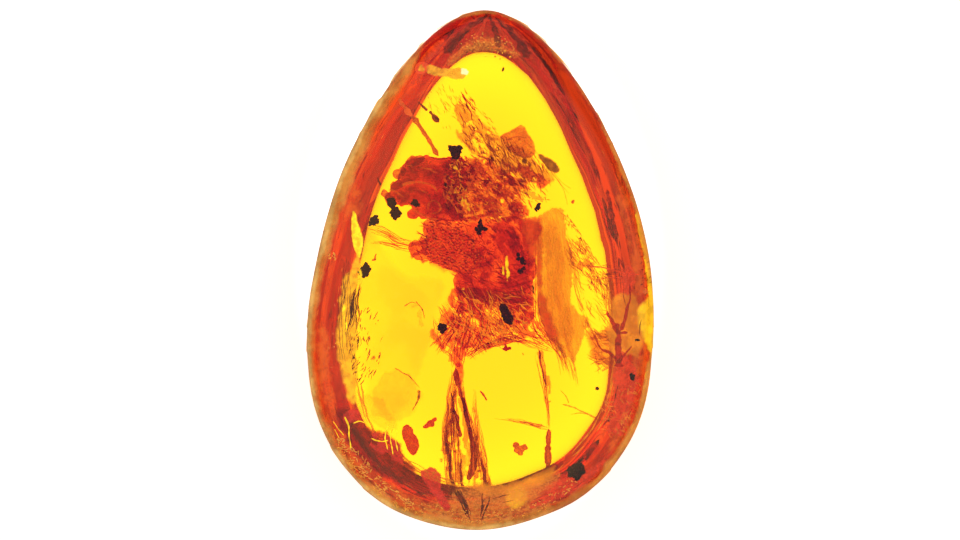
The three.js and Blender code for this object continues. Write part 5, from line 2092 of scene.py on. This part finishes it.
@dataclass
class PaintedRimLight(Inclusions):
    """Painted light along the stone's edges: glowing bands, lines and grain that stand in for the light the
    curved rim bends and throws back, with dark streaks and threads, a red star and small bubbles.
    """

    dark: TissueFinish = TissueFinish(
        "dark edge streak", (0.72, 0.5, 0.5), (0.5, 0.3, 0.4), (0.5, 0.1, 0.05), patch=0.4, glow=0.05,
    )
    # Painted light: bronze glow for a band and glints along the edge.
    bronze: PaintedGlowFinish = PaintedGlowFinish("bronze edge light", (0.95, 0.36, 0.05), 0.45, 0.95)
    rounds: tuple[float, ...] = (118, 190, 262, 334)
    # Golden grain with painted glow, at the tip and along the bottom of the window.
    edge_grain_glow: Layer = Layer(11, PaintedGlowFinish("golden grain", (1, 0.36, 0.06), 0.45, 0.9, patch=0.12), (
        Film(((-2, 12.3), (-0.9, 12.9), (0.2, 13.2), (2, 12.9), (2.4, 13.2), (0.9, 14.2), (-0.6, 14),
            (-1.8, 13.2)), 9, 0.03, wrinkles=(), cell=0.1, rag=((0.8, 0.2),), soft=0.5),
        Film(((-1.6, -13.1), (0, -13), (3.2, -12.8), (4.8, -12.2), (4.6, -13.2), (2.6, -14.4),
            (-0.6, -14.8), (-1.8, -14.4)), 9, 0.03, wrinkles=(), cell=0.1, rag=((0.8, 0.2),), soft=0.5),
    ), 0.3)
    # Painted light: orange bands along the rim stand in for the light its curved edge bends out.
    orange_edge_light: Layer = Layer(11.1, PaintedGlowFinish("orange edge light", (1, 0.2, 0.02), 0.5, 0.95, patch=0.8), (
        Band(-64, 40, 0.1, 1.6, 1.2, 0.4),
        Band(196, 262, 0.4, 1.8, 1.6, 0.4),
        Band(144, 162, 0.9, 2.2, 2, 0.4),
    ), 0.6)
    orange_glow: Layer = Layer(11.2, PaintedGlowFinish("orange glow", (1, 0.38, 0.02), 0.3, 1.15, patch=1.2), (
        Film(((8, -1.8), (8.9, -1.3), (9.6, -1.6), (10, -3.4), (9.9, -5.4), (9.1, -5.2), (8.4, -5.6),
            (7.8, -5), (7.7, -3.4)), 9, 0.03, rag=((0.8, 0.2), (0.3, 0.1)), wrinkles=(), cell=0.1,
            soft=0.3),
        Film(((-0.3, -12.9), (1.5, -12.9), (3.2, -12.4), (4.6, -11.7), (4.6, -12.5), (3.4, -13.4),
            (1.6, -13.9), (0, -13.6)), 9, 0.03, rag=((0.8, 0.15), (0.3, 0.1)), wrinkles=(), cell=0.1,
            soft=0.35),
    ), 0.5)
    # Painted light: golden bands along the rim stand in for the light its curved edge bends out.
    golden_edge: Layer = Layer(11.3, PaintedGlowFinish("golden edge light", (1, 0.62, 0.01), shine=1.6, patch=1), (
        Band(-28, -6, -0.4, 1.2, 1, 0.3),
        Band(-58, 30, -0.4, 0.35, 0.3, 0.2),
        Film(((1.6, -13.2), (2.8, -13), (3.1, -13.9), (2.3, -14.6), (1.4, -14.2)), 9.3, 0.03, wrinkles=(),
            cell=0.1, rag=((0.8, 0.2),), soft=0.6),
    ), 0.35)
    # Painted light: a bronze band along the lower edge.
    bronze_edge_light: Layer = Layer(11.4, bronze, (
        Band(252, 290, 0.1, 1.7, 2.3, 0.8),
    ), 0.45)
    # Painted reflection: pale tan bands along the edge stand in for the bright surround reflected there.
    tan_edge_reflection: Layer = Layer(11.5, PaintedGlowFinish("tan edge reflection", (1, 0.5, 0.12), 0.25, 0.85, patch=1.5), (
        Band(102, 170, -0.4, 1.25, 0.9, 0.6),
        Band(152, 216, -0.4, 0.95, 0.65, 0.5),
        Band(200, 266, -0.4, 0.7, 0.8, 0.5),
        Band(252, 304, -0.4, 0.8, 0.6, 0.5),
        Band(-64, -22, -0.4, 0.8, 0.35, 0.3),
    ), 0.16)
    # Painted reflection: a cream line at the outermost edge, shining by its own emission.
    cream_edge_reflection: Layer = Layer(11.6, PaintedGlowFinish("cream edge reflection", (1, 0.68, 0.24), 0.2, 1, patch=1.5), (
        Band(98, 300, -0.4, 0.45, 0.35, 0.3),
    ), 0.1)
    # Painted light: an olive line along the edge, shining by its own emission.
    olive_edge_light: Layer = Layer(11.7, PaintedGlowFinish("olive edge light", (1, 0.44, 0.07), 0.3, 0.85, patch=1.5), (
        Band(-70, -21, -0.4, 0.45, 0.3, 0.3),
        Band(-13, 112, -0.4, 0.4, 0.25, 0.3),
    ), 0.12)
    red_star: Layer = Layer(11.8, TissueFinish(
        "red star", (0.84, 0.34, 0.55), (0.72, 0.24, 0.45), (0.8, 0.04, 0.05), patch=0.3, grit=0.4,
        glow=0.3,
    ), (
        Streak(((7.7, -2.5), (8, -3.1), (8.4, -3.7)), 9.2, (0.05, 0.16), 0.1),
        Streak(((9.1, -0.8), (9.1, -1.8), (8.8, -3), (8.5, -3.7)), 9.2, (0.05, 0.14), 0.1),
        Streak(((8.3, -3.2), (8.45, -4), (8.4, -4.6)), 9.2, (0.14, 0.24), 0.1),
        Streak(((8.4, -4.4), (8.45, -5.2), (8.4, -5.9)), 9.2, (0.2, 0.26), 0.1),
        Streak(((8, -3.4), (8.4, -3.8), (9, -3.8)), 9.2, (0.12, 0.06), 0.1),
        Streak(((9.2, -4.6), (8.8, -5.2), (8.4, -5.6)), 9.2, (0.04, 0.12), 0.1),
        Streak(((6.9, -3.9), (7.4, -4.7), (8.3, -5.4)), 9.2, (0.04, 0.1), 0.1),
    ), 0.25)
    tip_shafts: Layer = Layer(11.9, dark, (
        Streak(((0.5, 15.6), (-0.8, 14.7), (-2.2, 13.2)), 9, (0.1, 0.32), 0.1),
        Streak(((0.6, 15.6), (0.9, 14.6), (1.2, 13.5)), 9, (0.08, 0.22), 0.1),
        Streak(((0.9, 15.5), (2.1, 14.3), (3, 12.9)), 9, (0.1, 0.26), 0.1),
    ), 0.3)
    # Painted light: red streaks at the tip that shine by their own emission.
    tip_light_streaks: Layer = Layer(12, PaintedGlowFinish("red tip light", (0.9, 0.075, 0.025), 0.55, 0.8, patch=0.5), (
        Streak(((0.3, 15.5), (-1.2, 14.5), (-3.2, 12.9), (-4.2, 11.2)), 9, (0.1, 0.3), 0.1),
        Streak(((0.5, 15.5), (0, 14.5), (-0.7, 13.6)), 9, (0.06, 0.2), 0.1),
        Streak(((0.7, 15.5), (1.5, 14.3), (2.1, 13.3)), 9, (0.06, 0.2), 0.1),
        Streak(((1.1, 15.3), (2.8, 13.9), (4.2, 11.8), (5.4, 9.4)), 9, (0.08, 0.14), 0.1),
    ), 0.28)
    # Painted glow: short threads that light up the border of the clear window by their own emission.
    window_border_glow: Layer = Layer(12.1, PaintedGlowFinish("window border glow", (1, 0.36, 0.02), 0.35, 1, patch=0.4), (
        Bundle(((8, -0.9), (8.2, -4.9), (7.4, -8.9), (5.1, -11.8), (2.7, -13.2), (0.2, -13.3),
            (-2.5, -12.7), (-5, -11.2), (-6.8, -8.9), (-7.7, -5.5)), 7.5, (0.2, 0.2), 36, (0.03, 0.07), 0.2,
            run=(0.03, 0.1)),
    ), 0.5)
    edge_streaks: Layer = Layer(12.2, dark, (
        Streak(((2.8, 14), (3.6, 13.1), (4.4, 12), (5.2, 10.6)), 9, (0.06, 0.11), 0.06),
        Streak(((3.2, 13.5), (4.1, 12.4), (4.8, 11.3)), 9, (0.06, 0.13), 0.06),
        Streak(((7.7, 4.9), (8, 3.4), (8.4, 1.6)), 9, (0.12, 0.16), 0.1),
        Streak(((7.4, 4.4), (7.8, 3), (8.1, 1.9)), 9, (0.08, 0.1), 0.1),
        Bundle(((-1.4, -13.2), (-0.9, -14.2), (-0.5, -15.4)), 9, (0.5, 0.1), 9, (0.03, 0.08), 0.2,
            run=(0.3, 0.8)),
        Bundle(((0.4, -13.6), (0.2, -14.4), (-0.1, -15.4)), 9, (0.3, 0.1), 6, (0.03, 0.07), 0.2,
            run=(0.3, 0.8)),
        ScaleRows(((9.7, 1.3), (10.3, 1.2), (10.5, -0.4), (10.45, -1.6), (9.9, -1.4)), 9, 0, (0.55, 0.22),
            (0.3, 0.03)),
    ), 0.2)
    edge_threads: Layer = Layer(12.3, dark, tuple(
        Run(start, 16, (0.015, 0.035), (0.02, 0.08)) for start in rounds
    ), 0.25)
    edge_glints: Layer = Layer(12.4, bronze, tuple(
        Run(start, 14, (0.01, 0.025), (0.01, 0.04)) for start in rounds
    ), 0.22)
    bubbles: Layer = Layer(12.5, BubbleFinish(), (
        Specks(((-0.8, 13.4), (0.8, 13.9), (2.2, 13), (1.2, 12.8)), 8, 16),
        Specks(((-3, -14.4), (0.5, -14.9), (3.6, -13.9), (2, -13.4), (-1.5, -13.7)), 8, 40),
        Specks(((-9.4, -2.5), (-8.6, -2), (-8.2, -5.5), (-9.2, -6)), 8, 16),
        Specks(((9.9, -1.2), (10.2, -1.2), (10.1, -1.5)), 8, 1, (0.2, 0.22)),
    ), 0.3)


@dataclass
class Soil(Inclusions):
    """The black crumbs, the dark seed and the small red blots."""

    crumbs: Layer = Layer(10, CrumbFinish(), (
        Crumb((-5.35, 4.07), (0.26, 0.28), 7.4, parts=((0.1, -0.25, 0.15),)),
        Crumb((-5.13, 3.42), (0.3, 0.32), 7.4, parts=((-0.05, 0.28, 0.16),)),
        Crumb((-3.98, 4.07), (0.22, 0.2), 7.8, parts=((0.12, -0.12, 0.12),)),
        Crumb((-6.46, 2.97), (0.24, 0.28), 7.2, parts=((-0.2, -0.22, 0.14), (0.15, 0.2, 0.12))),
        Crumb((-1.5, 7.15), (0.34, 0.38), 7.6, 20, parts=((0.25, 0.2, 0.2), (-0.22, 0.28, 0.15),
            (-0.05, -0.35, 0.15))),
        Crumb((-2.1, 5.17), (0.07, 0.17), 7.8, 20),
        Crumb((0.03, 2.55), (0.17, 0.22), 7.6, parts=((0.03, 0.3, 0.13), (0.05, 0.46, 0.08),
            (-0.2, -0.12, 0.15), (0.25, -0.06, 0.13), (-0.04, -0.32, 0.13))),
        Crumb((2.55, 0.6), (0.14, 0.2), 7.4, parts=((-0.2, 0.35, 0.12), (-0.25, 0.05, 0.12),
            (0.12, -0.2, 0.12))),
        Crumb((2.45, -0.1), (0.17, 0.13), 7.4, parts=((0.2, 0.2, 0.1),)),
        Crumb((3.5, 3.8), (0.34, 0.14), 7.6, 62),
        Crumb((3.22, -1.13), (0.06, 0.28), 7.4, 4),
        Crumb((-2.3, -3.52), (0.28, 0.26), 7.4, parts=((0.15, 0.12, 0.12),)),
        Crumb((-7, -0.03), (0.24, 0.28), 7.3, parts=((0.14, 0.3, 0.14), (-0.28, -0.14, 0.12),
            (-0.02, -0.28, 0.16), (0.18, 0.06, 0.14), (-0.42, -0.12, 0.06))),
        Crumb((5.87, -12.2), (0.46, 0.42), 9.2, 15, parts=((0.25, 0.1, 0.22), (-0.3, 0.1, 0.2),
            (0, -0.38, 0.18))),
        Crumb((9.6, -4.26), (0.17, 0.08), 8.2),
        Crumb((9.28, -6.5), (0.16, 0.27), 8, 10),
        Crumb((7.13, -7.2), (0.11, 0.09), 6.8),
        Crumb((1.4, 12.2), (0.07, 0.17), 7.2, -15),
    ), 0.04, Slot.GRIT)
    seed: Layer = Layer(10.3, CrumbFinish("seed coat", (0.008, 0.002, 0.003), (0.12, 0.025, 0.02), 0.18), (
        Mass((((1.62, -2.72, 7.2), (0.7, 0.33, 0.3), -64), ((1.5, -2.4, 7.2), (0.35, 0.25, 0.22), -64)),
            rough=((0.4, 0.1), (0.12, 0.05)), voxel=0.035),
    ), slot=Slot.GRIT)
    magenta_blots: Layer = Layer(10.5, TissueFinish(
        "magenta blot", (0.6, 0.12, 0.3), (0.5, 0.06, 0.25), (0.8, 0.01, 0.08), patch=0.2, glow=0.3,
    ), (
        Mass((((1.6, -4.8, 6.8), (0.3, 0.1, 0.12), -5), ((1.55, -4.62, 6.8), (0.1, 0.14, 0.1), 0),
            ((1.8, -4.75, 6.8), (0.12, 0.1, 0.1), 0)), rough=((0.2, 0.08),), voxel=0.03),
        Mass((((2.62, -5.1, 6.8), (0.04, 0.1, 0.05), 20),), rough=((0.2, 0.03),), voxel=0.02),
    ))
    orange_blots: Layer = Layer(10.7, TissueFinish(
        "orange blot", (0.8, 0.55, 0.4), (0.62, 0.34, 0.3), patch=0.2, glow=0.25, pinholes=0.3,
    ), (
        Mass((((2.35, -11, 6.2), (0.3, 0.2, 0.2), 0), ((2.65, -10.8, 6.2), (0.25, 0.2, 0.2), 0),
            ((2.2, -10.7, 6.2), (0.2, 0.16, 0.2), 0), ((2.5, -11.2, 6.2), (0.2, 0.12, 0.15), 0)),
            rough=((0.3, 0.12), (0.12, 0.05)), voxel=0.035),
        Mass((((-6.35, 0.85, 6.8), (0.06, 0.16, 0.06), -10), ((-6.45, 0.62, 6.8), (0.14, 0.06, 0.06), 20)),
            rough=((0.2, 0.04),), voxel=0.02),
        Mass((((5.66, 4.16, 6.8), (0.1, 0.12, 0.08), 0),), rough=((0.2, 0.06),), voxel=0.02),
    ))


# ---------------------------------------------------------------------------- studio


@dataclass
class Studio:
    """A pale floor lit from below round the stone, a soft sky and the camera overhead."""

    floor_half: float = 3.0
    floor_drop: float = 0.00005
    pool_glow: float = 2.0
    far_glow: float = 0.72
    pool_edge: Spot = (0.72, 1.12)
    dusk_glow: float = 0.15
    dusk: Spot = (36.0, 70.0)
    sky: tuple[tuple[float, Triple], ...] = (
        (-0.12, (0.32, 0.14, 0.12)),
        (0.0, (0.6, 0.5, 0.42)),
        (0.1, (0.65, 0.5, 0.4)),
        (0.25, (1.3, 0.8, 0.5)),
        (0.5, (1.35, 0.7, 0.4)),
        (0.8, (1.25, 0.55, 0.4)),
        (0.93, (0.8, 0.35, 0.4)),
        (1.0, (0.6, 0.28, 0.4)),
    )
    lens: float = 200.0
    sensor: float = 36.0
    margin: float = 540 / 523
    shape: float = 960 / 540

    def build(self) -> None:
        """Make the floor, the sky and the camera."""
        self.lay_floor()
        self.hang_sky()
        self.set_camera()
        scene = bpy.context.scene
        scene.view_settings.view_transform = "Standard"
        scene.cycles.max_bounces = 24
        scene.cycles.transmission_bounces = 24
        scene.cycles.glossy_bounces = 12
        scene.cycles.transparent_max_bounces = 64

    def lay_floor(self) -> None:
        """Add the floor, just under the stone, with its pool of light."""
        bpy.ops.object.select_all(action="DESELECT")
        bpy.ops.mesh.primitive_plane_add(size=2 * self.floor_half, location=(0, 0, -self.floor_drop))
        floor = bpy.context.object
        floor.name = "floor"
        bpy.ops.object.transform_apply(location=True)
        sheet = NodeSheet("pale floor")
        low, high = (corner / MM for corner in CAD_BOX)
        under = sheet.add("Mapping", Vector=sheet.place)
        under.inputs["Scale"].default_value = (2 / (high.x - low.x), 2 / (high.y - low.y), 1.0)
        length = sheet.add("VectorMath", {"operation": "LENGTH"})
        sheet.plug(length.inputs[0], under.outputs["Vector"])
        glow = sheet.step(length.outputs["Value"], *self.pool_edge, self.pool_glow, self.far_glow)
        away = sheet.add("VectorMath", {"operation": "LENGTH"})
        sheet.plug(away.inputs[0], sheet.place)
        dimmed = sheet.add("Math", {"operation": "MULTIPLY"})
        sheet.plug(dimmed.inputs[0], glow)
        dusk = sheet.step(away.outputs["Value"], *self.dusk, 1.0, self.dusk_glow / self.far_glow)
        sheet.plug(dimmed.inputs[1], dusk)
        body = sheet.add(
            "BsdfPrincipled", Base_Color=(0.85, 0.85, 0.86), Roughness=0.8,
            Emission_Color=(1.0, 1.0, 1.0), Emission_Strength=dimmed.outputs[0],
        )
        floor.data.materials.append(sheet.done(body.outputs[0]))
        floor.visible_glossy = False

    def hang_sky(self) -> None:
        """Make the soft light of the room, brighter part of the way up."""
        world = bpy.data.worlds.new("soft room")
        bpy.context.scene.world = world
        world.cycles.sampling_method = "NONE"
        world.use_nodes = True
        tree = world.node_tree
        place = tree.nodes.new("ShaderNodeTexCoord")
        parts = tree.nodes.new("ShaderNodeSeparateXYZ")
        ramp = tree.nodes.new("ShaderNodeValToRGB")
        tree.links.new(place.outputs["Generated"], parts.inputs[0])
        raised = tree.nodes.new("ShaderNodeMapRange")
        raised.inputs["From Min"].default_value = self.sky[0][0]
        tree.links.new(parts.outputs["Z"], raised.inputs["Value"])
        tree.links.new(raised.outputs["Result"], ramp.inputs[0])
        tree.links.new(ramp.outputs[0], tree.nodes["Background"].inputs["Color"])
        stops = ramp.color_ramp.elements
        while len(stops) < len(self.sky):
            stops.new(1.0)
        for stop, (height, light) in zip(stops, self.sky):
            stop.position = (height - self.sky[0][0]) / (1 - self.sky[0][0])
            stop.color = (*light, 1.0)

    def set_camera(self) -> None:
        """Hang the camera straight over the stone, which it looks down on."""
        low, high = CAD_BOX
        view_width = (high.y - low.y) * self.margin * self.shape
        lens = bpy.data.cameras.new("camera")
        lens.lens = self.lens
        lens.sensor_width = self.sensor
        lens.clip_start = 0.01
        camera = bpy.data.objects.new("camera", lens)
        bpy.context.scene.collection.objects.link(camera)
        distance = view_width * self.lens / self.sensor
        widest = low.z + (high.z - low.z) * WAIST
        camera.location = ((low.x + high.x) / 2, (low.y + high.y) / 2, widest + distance)
        bpy.context.scene.camera = camera


def main() -> None:
    """Build the stone and all that is sealed in it, in order."""
    logging.basicConfig(level=logging.INFO, format="%(message)s")
    Studio().build()
    stone = Stone(AmberFinish())
    for group in (Head, Nape, Trunk, Fan, Wing, FlowVeil, RightSide, LeftSide, UpperLeft, PaintedRimLight, Soil):
        group(stone).build()
    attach(stone.piece, "root")
    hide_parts(Stone.NODE)
    LOG.info("amber: %d faces", len(stone.piece.data.polygons))


if __name__ == "__main__":
    main()
